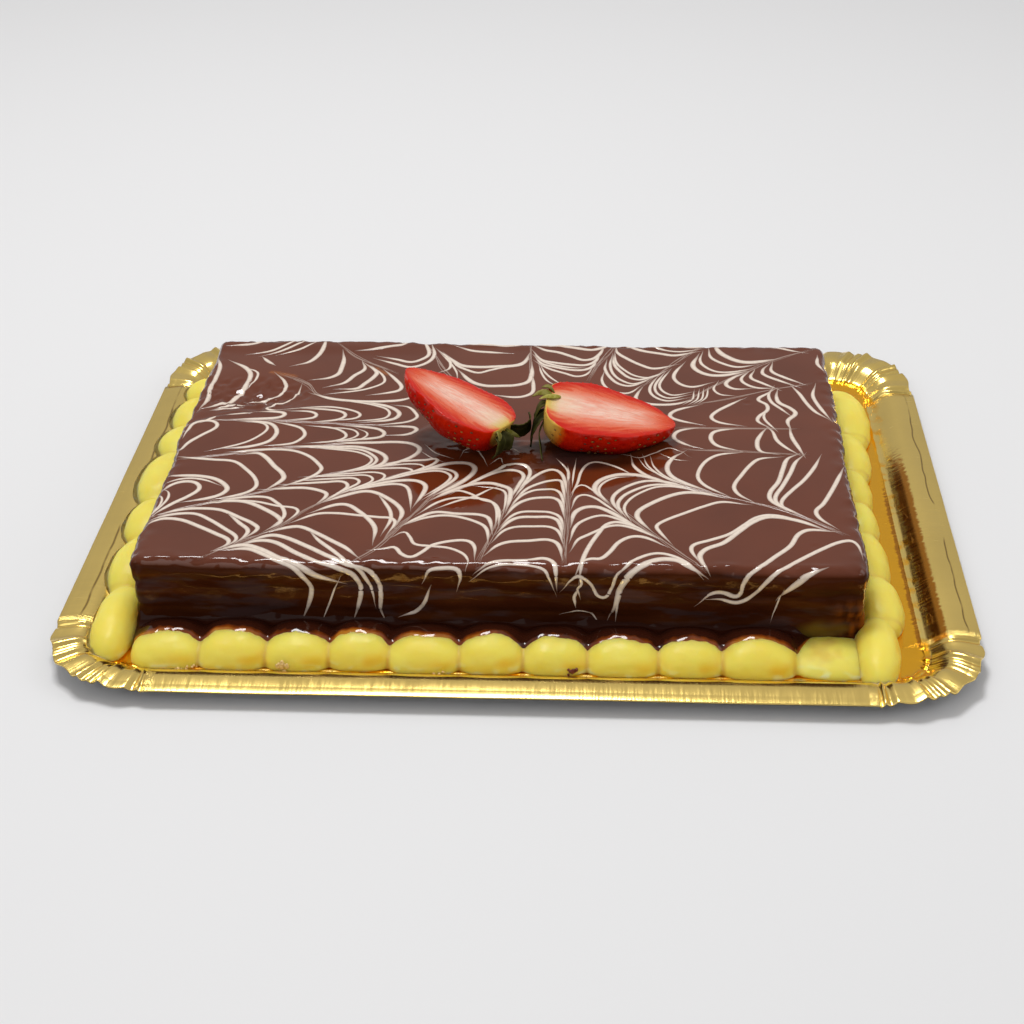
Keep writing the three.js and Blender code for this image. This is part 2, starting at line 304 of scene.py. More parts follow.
def node(tree, kind, settings=None, **sockets):
    """Adds a node. A socket's value is a number, a colour or another node's output."""
    made = tree.nodes.new("ShaderNode" + kind)
    for key, value in (settings or {}).items():
        setattr(made, key, value)
    for key, value in sockets.items():
        target = made.inputs[int(key[1:])] if key[0] == "i" and key[1:].isdigit() \
            else made.inputs[key.replace("_", " ")]
        if isinstance(value, bpy.types.NodeSocket):
            tree.links.new(value, target)
        else:
            target.default_value = value
    return made


def place(tree):
    return node(tree, "TexCoord").outputs["Object"]


def cloudy(tree, where, scale, detail=3.0, stretch=None):
    """Noise over a place, stretched where the real marks are."""
    if stretch:
        where = node(tree, "Mapping", Vector=where, Scale=stretch).outputs[0]
    return node(tree, "TexNoise", Vector=where, Scale=scale, Detail=detail).outputs["Fac"]


def along_noise(tree, arc, detail):
    """Slow noise along the tray's rim."""
    return node(tree, "TexNoise", {"noise_dimensions": "1D"}, W=arc, Scale=0.035,
                Detail=detail).outputs["Fac"]


def ramp(tree, value, low, high, to_low=0.0, to_high=1.0):
    return node(tree, "MapRange", {"clamp": True}, Value=value, From_Min=low,
                From_Max=high, To_Min=to_low, To_Max=to_high).outputs[0]


def math_node(tree, operation, a, b=0.0):
    return node(tree, "Math", {"operation": operation}, i0=a, i1=b).outputs[0]


def mixed(tree, share, low, high):
    """Mixes two colours, each given as a tuple or a socket."""
    mix = node(tree, "Mix", {"data_type": "RGBA"}, i0=share)
    for index, value in ((6, low), (7, high)):
        if isinstance(value, bpy.types.NodeSocket):
            tree.links.new(value, mix.inputs[index])
        else:
            mix.inputs[index].default_value = (*value, 1)
    return mix.outputs[2]


def coated(tree, body, *coats):
    """Lays colours over a body, each with the share that it covers."""
    for share, tone in coats:
        body = mixed(tree, share, body, tone)
    return body


def attribute(tree, name, output="Fac"):
    return node(tree, "Attribute", {"attribute_name": name}).outputs[output]


def bumped(tree, shader, *layers):
    """Stacks bumps, each a height socket with its strength and its depth in millimetres."""
    normal = None
    for height, strength, depth in layers:
        bump = node(tree, "Bump", Strength=strength, Distance=depth * MM, Height=height)
        if normal:
            tree.links.new(normal, bump.inputs["Normal"])
        normal = bump.outputs[0]
    tree.links.new(normal, shader.inputs["Normal"])


def paint(tree, shader, socket, value):
    tree.links.new(value, shader.inputs[socket])


# ---- gold card tray --------------------------------------------------------------------

SYRUP_GOLD = (1.0, 0.50, 0.025)
CREASE_SHADE_BROWN = (0.16, 0.07, 0.012)
REFLECTED_BROWN = (0.52, 0.205, 0.018)
DARK_BOARD, PALE_BOARD = (0.25, 0.25, 0.25), (0.36, 0.36, 0.36)
CORNER_POWER = 2.5        # exponent of a corner's outline, a little squarer than round
LONG_STEPS, SHORT_STEPS, CORNER_STEPS = 84, 62, 132

# Painted crease shade on the rim, dark lines along the creases: how far in from the edge, which
# side (1 is the right one), how far they wander and how wide they are.
CREASE_SHADE_LINES = [(3.6, 1, 1.5, 0.36), (6.9, -1, 1.3, 0.52)]

# The rim in section: how far in from the edge, and how high above the base.
RIM = [(0.0, 4.30), (0.2, 4.38), (2.7, 4.63), (2.95, 4.64), (3.2, 4.69), (5.0, 4.86),
       (6.8, 5.0), (8.4, 4.88), (9.3, 4.68), (9.9, 4.42), (10.6, 4.06), (11.4, 3.62),
       (12.2, 3.06), (13.1, 2.38), (14.0, 1.72), (14.9, 1.10), (15.7, 0.60), (15.9, 0.54),
       (16.1, 0.62), (16.9, 0.58), (17.1, 0.46), (17.8, 0.14), (18.5, 0.02), (19.3, 0.0)]


def grey_board():
    material, tree, shader = new_material("grey board", (0.3, 0.3, 0.3), Roughness=0.7)
    fleck = cloudy(tree, place(tree), 600)
    paint(tree, shader, "Base Color", mixed(tree, fleck, DARK_BOARD, PALE_BOARD))
    return material


def rim_crease_shade(tree, arc, inset, side):
    """Painted crease shade: faint dark lines that wander along the long sides of the rim, and stop
    and start.
    """
    crease_shade = 0.0
    for at, which, wander, wide in CREASE_SHADE_LINES:
        line = ramp(tree, along_noise(tree, arc, 1.6), 0.2, 0.8, at - wander, at + wander)
        gap = math_node(tree, "ABSOLUTE", math_node(tree, "SUBTRACT", inset, line))
        shade_line = math_node(tree, "MULTIPLY", ramp(tree, gap, 0.1, wide, 1.0, 0.0),
                           ramp(tree, side, 0.4 * which, 0.6 * which))
        crease_shade = math_node(tree, "ADD", shade_line, crease_shade)
    return math_node(tree, "MULTIPLY", crease_shade, ramp(tree, along_noise(tree, arc, 2.0), 0.42, 0.5))


def gold_card():
    gold = bpy.context.scene.cake_tray.gold
    material, tree, shader = new_material("gold card", gold, Metallic=1.0, Roughness=0.17)
    where = place(tree)
    mottle = ramp(tree, cloudy(tree, where, 28, 4), 0.35, 0.7)
    patchy = ramp(tree, cloudy(tree, where, 210), 0.3, 0.7, -0.25, 0.25)
    wet = ramp(tree, math_node(tree, "ADD", attribute(tree, "syrup"), patchy), 0.35, 0.55)
    run = attribute(tree, "run", "Vector")
    # painted crease shade: dark lines laid into the gold along the rim
    crease_shade = rim_crease_shade(tree, *node(tree, "SeparateXYZ", Vector=run).outputs)
    ragged = ramp(tree, cloudy(tree, run, 1.0, 3, (1.2, 0.35, 1.0)), 0.35, 0.6, -0.25, 0.25)
    # painted reflection: brown on the right rim where the cake's dark side shows in the gold
    reflected = ramp(tree, math_node(tree, "ADD", attribute(tree, "fold"), ragged), 0.35, 0.8)
    paint(tree, shader, "Base Color",
          coated(tree, mixed(tree, mottle, scaled(gold, 0.9), gold), (wet, SYRUP_GOLD),
                 (math_node(tree, "MULTIPLY", crease_shade, 0.75), CREASE_SHADE_BROWN),
                 (reflected, REFLECTED_BROWN)))
    across = cloudy(tree, run, 1.0, 4, (1.1, 0.07, 1.0))
    brushed = cloudy(tree, run, 1.0, 3, (1.6, 0.12, 1.0))
    paint(tree, shader, "Roughness", ramp(tree, brushed, 0.3, 0.75, 0.14, 0.28))
    bumped(tree, shader, (across, 0.5, 0.13), (cloudy(tree, where, 75, 2), 0.2, 0.30),
           (wet, 0.5, 0.12), (cloudy(tree, where, 900, 2), 0.12, 0.05))
    return material


def pleat_wave(turn, pleats, inset):
    """Height of the folds from -1 to 1: sharp small folds on broad soft ones."""
    wander = turn + 0.035 * math.sin(6.1 * turn * math.pi) + 0.0012 * inset
    tooth = 1 - 4 * abs((wander * pleats) % 1.0 - 0.5)
    broad = math.sin(2 * math.pi * (wander * pleats * 0.46 + 0.2))
    return 0.34 * tooth + 0.20 * math.sin(math.pi / 2 * tooth) + 0.46 * broad


def shape_tray():
    """Sweeps the rim's section round the tray, closes the base and pleats the corners."""
    sizes = bpy.context.scene.cake_tray
    low, high = mm_box("tray")
    half_x, half_y = (high.x - low.x) / 2, (high.y - low.y) / 2
    board, corner, rim = sizes.board / MM, sizes.corner / MM, sizes.rim / MM
    scallop, pleat_height = sizes.scallop / MM, sizes.pleat_height / MM
    corner_lift = sizes.corner_lift / MM
    bm = bmesh.new()
    section = [bm.verts.new((-half_x + corner, -half_y + inset, board + height))
               for inset, height in RIM]
    strip = [bm.edges.new(pair) for pair in zip(section, section[1:])]
    geom = section + strip
    straight = ((2 * (half_x - corner), LONG_STEPS), (2 * (half_y - corner), SHORT_STEPS))
    for side in range(4):
        reach, steps = straight[side % 2]
        along = Vector((math.cos(side * math.pi / 2), math.sin(side * math.pi / 2), 0))
        geom = bmesh.ops.spin(bm, geom=geom, cent=(0, 0, 0), axis=(0, 0, 1), angle=0,
                              dvec=along * (reach / steps), steps=steps)["geom_last"]
        turn_x = half_x - corner if side in (0, 1) else corner - half_x
        turn_y = half_y - corner if side in (1, 2) else corner - half_y
        geom = bmesh.ops.spin(bm, geom=geom, cent=(turn_x, turn_y, 0), axis=(0, 0, 1),
                              angle=math.pi / 2, steps=CORNER_STEPS)["geom_last"]
    bmesh.ops.remove_doubles(bm, verts=bm.verts, dist=0.01)
    inner = [e for e in boundary(bm) if max(abs(v.co.z - board) for v in e.verts) < 0.01]
    base = bmesh.ops.edgeloop_fill(bm, edges=inner)["faces"]
    bmesh.ops.inset_region(bm, faces=base, thickness=3.0)
    syrup, reflection_at = float_layers(bm, "syrup", "fold")
    # the way along the rim, how far in from its edge, and the side: 1 right, -1 left
    run = bm.verts.layers.float_vector.new("run")
    for vert in bm.verts:
        x, y = abs(vert.co.x) - (half_x - corner), abs(vert.co.y) - (half_y - corner)
        inset = min(half_x - abs(vert.co.x), half_y - abs(vert.co.y))
        side = math.copysign(1, vert.co.x) if x > y else 0
        vert[run] = (vert.co.y if x > y else vert.co.x, inset, side)
        vert[syrup] = smoothstep(16.9, 17.6, inset) + 0.35 * smoothstep(12, 13.5, inset)
        if side == 1 and y < 0:
            # painted reflection: the slope and the fold inside the pale line are painted brown,
            # where the cake's dark side shows in the gold from the front
            slope = smoothstep(9.2, 10.6, inset) * smoothstep(14.9, 13.1, inset)
            fold = 0.9 * smoothstep(16.9, 17.2, inset) * smoothstep(18.9, 17.8, inset)
            vert[reflection_at] = (slope * smoothstep(48, 12, vert.co.y)
                             + fold * smoothstep(32, 0, vert.co.y))
        if x < -0.001 or y < -0.001:
            # the card is never quite even
            if inset < rim:
                vert.co.z += 0.16 * noise.noise(vert.co / 23) * (1 - inset / rim)
            continue
        around = math.atan2(y, x) if vert.co.x * vert.co.y < 0 else math.atan2(x, y)
        turn = around / (math.pi / 2)
        inset = corner - math.hypot(x, y)
        vert[run] = (turn * corner * 1.6 + 300, inset, 0)
        vert[syrup] = smoothstep(13, 18, inset)
        fade = max(1 - inset / rim, 0.0)
        wave = pleat_wave(turn, sizes.pleats, inset)
        c, s = math.cos(math.atan2(y, x)), math.sin(math.atan2(y, x))
        reach = boxy_reach(c, s, CORNER_POWER)
        ends = smoothstep(0, 0.035, turn) * smoothstep(0, 0.035, 1 - turn)
        weave = 0.6 + 0.55 * math.sin(2 * math.pi * turn * sizes.pleats * 0.42) + 0.2 * wave
        radius = corner * reach - inset - scallop * weave * fade * ends
        vert.co.x = math.copysign(half_x - corner + radius * c, vert.co.x)
        vert.co.y = math.copysign(half_y - corner + radius * s, vert.co.y)
        fold = min(pleat_height * 0.85 * math.sqrt(fade), 0.8 * (vert.co.z - board))
        vert.co.z += ends * (fold * wave + fade * corner_lift * math.sin(math.pi * turn))
        # the rim dips where a corner's pleats begin
        vert.co.z -= fade * (1 - abs(2 * ends - 1)) * (inset < rim)
    face_up(bm)
    return bm


class CAKE_OT_tray(bpy.types.Operator):
    """Presses the gold card tray with its pleated corners"""
    bl_idname = "cake.tray"
    bl_label = "Gold card tray"

    def execute(self, context):
        piece = finished("gold_tray", shape_tray(), gold_card(), "gold_card", ["tray"])
        wall = walled(piece, context.scene.cake_tray.board * 0.9, -1)
        wall.material_offset = 1
        piece.data.materials.append(grey_board())
        return {"FINISHED"}


# ---- chocolate glaze -------------------------------------------------------------------

SIDE_PATCH_BROWN = (0.058, 0.029, 0.027)
AMBER = (0.34, 0.095, 0.010)
CUSTARD_SMEAR = (0.25, 0.165, 0.022)
WARM_SHINE = (1.0, 0.66, 0.5)
GLOSS = 0.045
LAYERS = 3

# Where the glaze has slipped, from the cake's middle: the slip's front line, x and y.
SLIP = [(-111, 10), (-106, 14), (-100, 17), (-90, 20), (-73, 23), (-59, 25.5)]
# Small pits in the top: where, and how deep.
PITS = [(-89.7, -38.8, 0.5), (95.9, -60.2, 0.2), (80.5, 30.1, 0.35), (79.6, 33.6, 0.25),
        (-87.5, -8.4, 0.3)]

# Thin places in the top glaze that show amber, with painted copper glints: middle, half length and
# turn in radians.
AMBER_GLINT_PLACES = [(-83, 47.5, 7.5, -0.35), (-48.5, 50.5, 8.5, -0.7), (-87.5, -7.6, 2.6, 0.2)]


def slip_line(x):
    """How far back the slip's front line lies."""
    for (xa, ya), (xb, yb) in zip(SLIP, SLIP[1:]):
        if x <= xb:
            return blend(ya, yb, max((x - xa) / (xb - xa), 0))
    return SLIP[-1][1]


# The clear gel round the berries: each run's two ends and its half width.
GEL = [((-24, 4), (1, -8), 7.5), ((1, -8), (20, -5), 8.5), ((20, -4), (54, -3), 6.0)]


def gel_depth(x, y):
    """How deep the gel stands at a place on the top, from 0 to 1."""
    spot = Vector((x, y, 0))
    gap = 99.0
    for start, end, radius in GEL:
        near, share = intersect_point_line(spot, (*start, 0), (*end, 0))
        if not 0 <= share <= 1:
            near = Vector((*(start if share < 0 else end), 0))
        gap = min(gap, (spot - near).length - radius)
    return smoothstep(0.9, -0.7, gap + 1.6 * noise_at(x / 6, y / 4, 2.2))


def top_relief(x, y):
    """Height of the top glaze above a flat top, from the cake's middle."""
    gel = gel_depth(x, y)
    rise = 0.22 * math.sin(x / 21) * math.sin(y / 17) - 0.15 + 0.42 * gel
    dent = math.exp(-((x + 92) / 18) ** 2 - ((y - 34) / 10) ** 2)
    rise -= 1.3 * dent
    rise += 0.30 * gel * noise_at(x / 2.6, y / 1.5, 8.8)
    # the glaze is crinkled in the dent
    rise += smoothstep(0.12, 0.5, dent) * noise_at(x / 1.8, y / 2.8, 3.1)
    slip = smoothstep(-0.8, 1.2, y - slip_line(x)) * (1 - smoothstep(8, 24, y - slip_line(x)))
    rise -= 0.95 * slip * smoothstep(-56, -88, x)
    rise += 0.3 * slip * smoothstep(-60, -90, x) * noise_at(x / 3, y / 1.6)
    for px, py, depth in PITS:
        gap = math.hypot(x - px, y - py)
        rise -= depth * (math.exp(-(gap / 0.9) ** 2) - 0.2 * math.exp(-((gap - 1.9) / 0.7) ** 2))
    from_x, from_y = CAKE_HALF_X - abs(x), CAKE_HALF_Y - abs(y)
    edge = max(smoothstep(9, 2, from_y), smoothstep(8, 2, from_x))
    rise += edge * 0.32 * noise_at(x / 8, y / 4, 7.7)
    # a low fold runs along inside the front and back edges
    fold = from_y - 3.2 - 1.6 * noise_at(x / 11, 4.4)
    height = max(noise_at(x / 15, 1.1, math.copysign(1, y)) + 0.35, 0)
    rise += 0.42 * height * math.exp(-(fold / 0.75) ** 2)
    rise += 0.07 * noise_at(x / 13, y / 13, 1.3)
    return rise


def side_relief(arc, z, height, groove):
    """How far the side's glaze stands out past a flat side, at a place round the cake."""
    level = z / (height / LAYERS)
    layer = min(int(level), LAYERS - 1)
    band = math.sin(math.pi * (level % 1.0)) ** 0.85
    out = 0.75 * groove * (band - 1)
    out += 0.42 * (0.6 + 0.8 * z / height) * (0.6 * math.sin(arc / 13 + 2 * layer)
                                              + 0.4 * math.sin(arc / 5.5 + 3 * layer))
    out += 0.34 * noise_at(arc / 10, z / 3.4, 2.2)
    out += 0.14 * noise_at(arc / 4.2, z / 2.4, 9.1)
    out += 0.12 * noise_at(arc / 3.1, z / 1.1, 4.4)
    return out


def chocolate():
    sizes = bpy.context.scene.cake_glaze
    material, tree, shader = new_material("chocolate glaze", sizes.milk, Roughness=GLOSS,
                                          IOR=1.5)
    where = place(tree)
    milk = mixed(tree, ramp(tree, cloudy(tree, where, 32, 4), 0.3, 0.72),
                 scaled(sizes.milk, 0.86), scaled(sizes.milk, 1.12))
    dark = mixed(tree, ramp(tree, cloudy(tree, where, 70, 3, (0.5, 0.5, 2.2)), 0.35, 0.7),
                 sizes.dark, scaled(sizes.dark, 0.62))
    # the side glaze has lighter purple-brown patches
    crumb = ramp(tree, cloudy(tree, where, 130, 3, (0.45, 0.45, 1.7)), 0.53, 0.64, 0.0, 0.85)
    lit_top = attribute(tree, "lit_top")
    # painted light: the top takes the lighter top glaze and the sides the darker, shaded one
    paint(tree, shader, "Base Color",
          coated(tree, dark, (crumb, SIDE_PATCH_BROWN), (lit_top, milk),
                 (attribute(tree, "amber_and_glints"), AMBER), (attribute(tree, "smear"), CUSTARD_SMEAR)))
    paint(tree, shader, "Specular IOR Level", ramp(tree, lit_top, 0.0, 0.8, 0.08, 0.5))
    paint(tree, shader, "Specular Tint", mixed(tree, lit_top, WARM_SHINE, WHITE))
    paint(tree, shader, "Roughness", ramp(tree, cloudy(tree, where, 120), 0.35, 0.75,
                                          GLOSS, GLOSS + 0.07))
    bumped(tree, shader, (cloudy(tree, where, 160, 2), 0.10, 0.25),
           (cloudy(tree, where, 1100, 2), 0.05, 0.03))
    return material


def shape_glaze():
    """A bevelled block, remeshed finely and given the glaze's relief."""
    sizes = bpy.context.scene.cake_glaze
    low, high = mm_box("cake")
    middle = Vector(((low.x + high.x) / 2, 0, 0))
    height = high.z - low.z
    bm = bmesh.new()
    bmesh.ops.create_cube(bm, size=1.0)
    bmesh.ops.scale(bm, vec=(2 * CAKE_HALF_X, 2 * CAKE_HALF_Y, height), verts=bm.verts)
    upright = [e for e in bm.edges if abs(e.verts[0].co.z - e.verts[1].co.z) > 1]
    bmesh.ops.bevel(bm, geom=upright, offset=sizes.corner / MM, segments=8, profile=0.5,
                    affect="EDGES", material=-1)
    around = [e for e in bm.edges if min(v.co.z for v in e.verts) > height / 2 - 0.01]
    bmesh.ops.bevel(bm, geom=around, offset=sizes.edge / MM, segments=6, profile=0.5,
                    affect="EDGES", material=-1)
    bm = remeshed(bm, sizes.grain / MM, 1)
    under = [f for f in bm.faces if f.normal.z < -0.9]
    bmesh.ops.delete(bm, geom=under, context="FACES")
    bmesh.ops.holes_fill(bm, edges=boundary(bm), sides=0)
    bm.normal_update()
    lit_top, amber_and_glints, smear = float_layers(bm, "lit_top", "amber_and_glints", "smear")
    for vert in bm.verts:
        x, y, z = vert.co.x, vert.co.y, vert.co.z + height / 2
        out = vert.normal.copy()
        if z < 0.3:
            out.z = 0
            out.normalize()
        flat = max(out.z, 0.0)
        # each side gets its own stretch of the noise
        arc = (x + 200) if abs(out.y) > abs(out.x) else (y + 520)
        arc += 900 if out.y > 0.5 or out.x < -0.5 else 0
        shift = Vector((0, 0, flat * top_relief(x, y)))
        sideways = Vector((out.x, out.y, 0))
        shift += sideways * side_relief(arc, z, height, sizes.layer_groove / MM)
        # the slipped block in front stands a little out to the left
        if x < -100 and -14 < y < slip_line(x) + 1:
            shift.x -= 0.8 * smoothstep(-14, 4, y) * abs(out.x)
        from_edge = (min(CAKE_HALF_Y - abs(y), CAKE_HALF_X - abs(x)) if flat > 0.05
                     else height - z)
        rim_band = smoothstep(6.0, 1.0, from_edge)
        shift += out * (rim_band * (0.50 * noise_at(arc / 5.5, from_edge / 3.0, 6.1)
                                    + 0.34 * noise_at(arc / 2.4, from_edge / 2.2, 1.7)))
        shift.z += 0.9 * flat * smoothstep(62, 72, y) * smoothstep(-20, -50, x)
        # painted shade: the top is darker in front of the right berry, where the berry shades it
        shaded = smoothstep(4, 12, x) * smoothstep(50, 38, x) * smoothstep(-19, -14, y)
        # painted light: the top's lit share falls away to the shaded sides
        vert[lit_top] = smoothstep(0.25, 0.8, out.z) * (1 - 0.85 * shaded * smoothstep(2, -4, y))
        # painted reflection: faint amber bands on the sides, for the custard and gold seen in the
        # glossy glaze
        reflected_bands = smoothstep(0.05, 0.5, noise_at(x / 26, y / 26, z / 1.9))
        vert[amber_and_glints] = 0.09 * reflected_bands * (1 - flat) * smoothstep(1.5, 6, z)
        for gx, gy, long, turn in AMBER_GLINT_PLACES:
            along = (x - gx) * math.cos(turn) + (y - gy) * math.sin(turn)
            beside = (y - gy) * math.cos(turn) - (x - gx) * math.sin(turn)
            patch = (math.hypot(along / long, beside / 1.3)
                     + 0.5 * noise_at(x / 2, y / 2))
            vert[amber_and_glints] = max(vert[amber_and_glints], 0.75 * flat * smoothstep(1.0, 0.3, patch))
        if x > 76 and y < -62 and z < 18:
            # the bare foot of the front right corner is ragged, with custard smeared on it
            ragged = noise_at(arc / 2.2, z / 2.6, 3.3)
            near_corner = smoothstep(99, 109, x) * smoothstep(17, 10, z)
            shift += sideways * (0.75 * ragged * near_corner)
            vert[amber_and_glints] = max(vert[amber_and_glints], 0.75 * near_corner * smoothstep(-0.3, 0.5, ragged))
            cloud = 0.35 * noise_at(x / 5, z / 3, 5.5)
            patch = math.hypot((x - 98) / 9, (z - 3.0) / 5.5) + cloud
            vert[smear] = 0.65 * smoothstep(1.05, 0.2, patch) * (out.y < -0.5)
        vert.co += shift + middle
        vert.co.x = min(max(vert.co.x, low.x), high.x)
        vert.co.y = min(max(vert.co.y, low.y), high.y)
        vert.co.z = min(z + low.z + shift.z, high.z + 0.6)
    bmesh.ops.recalc_face_normals(bm, faces=bm.faces)
    return bm


class CAKE_OT_glaze(bpy.types.Operator):
    """Pours the chocolate glaze over the layered biscuit cake"""
    bl_idname = "cake.glaze"
    bl_label = "Chocolate glaze"

    def execute(self, context):
        finished("glaze", shape_glaze(), chocolate(), "chocolate_glaze", ["cake"])
        return {"FINISHED"}


# ---- piped custard ---------------------------------------------------------------------

CRUMBLY_CREAM = (0.95, 0.83, 0.34)
SEAM_SHADE_AND_SMEAR = (0.62, 0.36, 0.07)
STAIN_BROWN = (0.33, 0.10, 0.012)

# Each side's mounds: how many, the turn that brings the side to the front, the exponent of
# a mound's outline from above, its full length over the length it shows, how far its outer
# end leans along the row, and how much narrower than its box it is in mm.
CUSTARD_SIDES = {"front": (11, 0, 3.2, 1.16, 0.0, 0.0), "right": (7, 90, 2.2, 1.34, 0.28, 1.0),
                 "back": (11, 180, 3.2, 1.16, 0.0, 0.0), "left": (7, 270, 2.2, 1.26, -0.15, 0.3)}


def custard_nodes(side):
    return [f"custard_{side}_{k + 1}" for k in range(CUSTARD_SIDES[side][0])]


def custard_cream():
    sizes = bpy.context.scene.cake_custard
    material, tree, shader = new_material(
        "custard", sizes.custard, Roughness=0.45, IOR=1.40, Subsurface_Weight=0.8,
        Subsurface_Scale=0.010, Subsurface_Radius=(1.0, 0.8, 0.25), Specular_IOR_Level=0.35)
    where = place(tree)
    drift = cloudy(tree, where, 85, 4, (1.0, 1.0, 1.6))
    pale = tuple(min(c * 1.05 + 0.03, 1) for c in sizes.custard)
    body = mixed(tree, ramp(tree, drift, 0.33, 0.68), sizes.custard, pale)
    paint(tree, shader, "Base Color",
          # painted shade: the deep colour on the mounds' lower sides and the brown in their seams
          coated(tree, body, (attribute(tree, "deep"), sizes.deep),
                 (attribute(tree, "crumbly"), CRUMBLY_CREAM),
                 (attribute(tree, "seam_shade_and_smear"), SEAM_SHADE_AND_SMEAR), (attribute(tree, "stain"), STAIN_BROWN)))
    paint(tree, shader, "Roughness", ramp(tree, cloudy(tree, where, 260, 3), 0.35, 0.7,
                                          0.34, 0.55))
    bumped(tree, shader, (cloudy(tree, where, 190, 3, (1.0, 1.0, 0.6)), 0.42, 0.5),
           (cloudy(tree, where, 1400, 2), 0.12, 0.05))
    return material


def dome(bm, middle, half, power, lean=0.0, skew=0.0):
    """Adds one closed mound that stands on the tray's base."""
    verts = bmesh.ops.create_uvsphere(bm, u_segments=64, v_segments=32, radius=1.0)["verts"]
    for vert in verts:
        flat, c, s = heading(vert.co.x, vert.co.y)
        reach = boxy_reach(c, s, power) * flat
        rise = math.copysign(abs(vert.co.z) ** 0.9, vert.co.z)
        across = half.y * s * reach
        vert.co = middle + Vector((half.x * c * reach + 2 * lean * rise + skew * across,
                                   across, half.z * rise))
    faces = list({f for v in verts for f in v.link_faces})
    edges = list({e for v in verts for e in v.link_edges})
    bmesh.ops.bisect_plane(bm, geom=verts + edges + faces, plane_co=(0, 0, middle.z),
                           plane_no=(0, 0, 1), clear_inner=True)
    bmesh.ops.edgeloop_fill(bm, edges=boundary(bm))


def shape_custard(side, tray_tree):
    """One row of mounds grown together, worked out as if it stood at the front."""
    sizes = bpy.context.scene.cake_custard
    count, turn, power, overlap, skew, trim = CUSTARD_SIDES[side]
    to_tray = Matrix.Rotation(math.radians(turn), 4, "Z")
    from_tray = to_tray.inverted()
    long_row = side in ("front", "back")
    cells = []
    bm = bmesh.new()
    for k, name in enumerate(custard_nodes(side)):
        corners = [from_tray @ v for v in mm_box(name)]
        low = Vector(map(min, *corners))
        high = Vector(map(max, *corners))
        half = Vector((overlap * (high.x - low.x + 0.3) / 2,
                       (high.y - low.y - trim) / 2 + 1.2, 0))
        middle = Vector(((low.x + high.x) / 2, (low.y + high.y + trim) / 2 + 1.0, TRAY_BASE))
        half.z = (high.z - TRAY_BASE) * 0.97
        cells.append((low.x - 0.15, high.x + 0.15, middle))
        lean = 0.05 * math.sin(2.3 * k + turn)
        # the mounds at the two front corners differ from their rows
        if side == "front" and k == count - 1:
            half.x, middle.x, half.z = half.x + 1.5, middle.x + 1.5, 0.84 * half.z
            dome(bm, middle, half, 2.6, lean, skew)
        elif side == "right" and k == 0:
            half.y, middle.y = half.y + 1.5, middle.y + 1.5
            dome(bm, middle, half, 2.0, lean, -1.3 * skew)
        elif side == "left" and k == count - 1:
            half.x *= 0.9
            dome(bm, middle, half, 2.4)
        else:
            dome(bm, middle, half, power, lean, skew)
    bmesh.ops.recalc_face_normals(bm, faces=bm.faces)
    bm = remeshed(bm, sizes.grain / MM, 2)
    seam_shade_and_smear, deep, stain, crumbly = float_layers(bm, "seam_shade_and_smear", "deep", "stain", "crumbly")
    # painted shade: each mound has a deeper yellow spot on its shaded lower side: how far along,
    # how high, how wide and how strong
    spot_x, spot_z, spread, strength = (0.6, 5.3, 0.5, 0.75) if long_row else (0, 6.0, 0.34, 0.5)
    bm.normal_update()
    for vert in bm.verts:
        p = vert.co
        gap = min(abs(p.x - cell[1]) for cell in cells[:-1])
        # painted shade: the seams between mounds are browner low down
        vert[seam_shade_and_smear] = 0.6 * smoothstep(1.2, 0.1, gap) * smoothstep(9, 2, p.z)
        cell = min(cells, key=lambda c: abs(p.x - c[2].x))
        across = (p.x - cell[2].x) / (cell[1] - cell[0]) * 2
        patch = math.hypot((across - spot_x) / spread, (p.z - spot_z) / (5.2 * spread))
        patch += 0.4 * noise.noise(p / 4)
        vert[deep] = (strength * smoothstep(1.15, 0.3, patch)
                      * (1 - smoothstep(0.45, 0.9, vert.normal.z)))
        if side == "front" and p.x > 84:
            # the last mound is smeared with glaze
            smear = math.hypot((p.x - 92) / 9, (p.z - 6.5) / 3) + 0.5 * noise.noise(p / 3)
            vert[seam_shade_and_smear] = max(vert[seam_shade_and_smear], 0.45 * smoothstep(1.0, 0.3, smear))
        mark = noise_at(p.x / 7 + p.z / 5, p.y / 9, p.z / 3.2 - p.x / 9 + turn)
        mark += 0.5 * noise_at(p.x / 3, p.y / 3, p.z / 1.6)
        vert[stain] = 0.6 * smoothstep(1.7, 0.9, p.z) * (noise.noise(p / 5) > -0.2) * long_row
        flaky = noise_at(p.x / 3.5, p.y / 3, p.z / 1.4 + turn)
        vert[crumbly] = smoothstep(0.1, 0.45, flaky) * smoothstep(4.5, 2.2, p.z)
        mark += 0.8 * vert[crumbly]
        p += vert.normal * (sizes.ripple / MM * mark * smoothstep(0.9, 2.5, p.z))
    bmesh.ops.transform(bm, matrix=to_tray, verts=bm.verts)
    for vert in bm.verts:
        floor = height_under(tray_tree, vert.co.x, vert.co.y, TRAY_BASE)
        vert.co.z = max(vert.co.z, floor + 0.05)
    return bm


class CAKE_OT_custard(bpy.types.Operator):
    """Pipes the rows of custard round the cake's foot"""
    bl_idname = "cake.custard"
    bl_label = "Piped custard"

    def execute(self, context):
        material = custard_cream()
        tray_tree = surface_of("gold_tray")
        for side in CUSTARD_SIDES:
            finished(f"custard_row_{side}", shape_custard(side, tray_tree), material,
                     "custard", custard_nodes(side))
        return {"FINISHED"}


# ---- glaze run down over the custard ---------------------------------------------------

# The glaze from where it is thick to where it is thin: places on the ramp and colours.
RUN_OFF_TONES = [(0.15, (0.034, 0.0075, 0.0034)), (0.55, (0.20, 0.040, 0.004)),
                 (1.0, (0.46, 0.17, 0.015))]


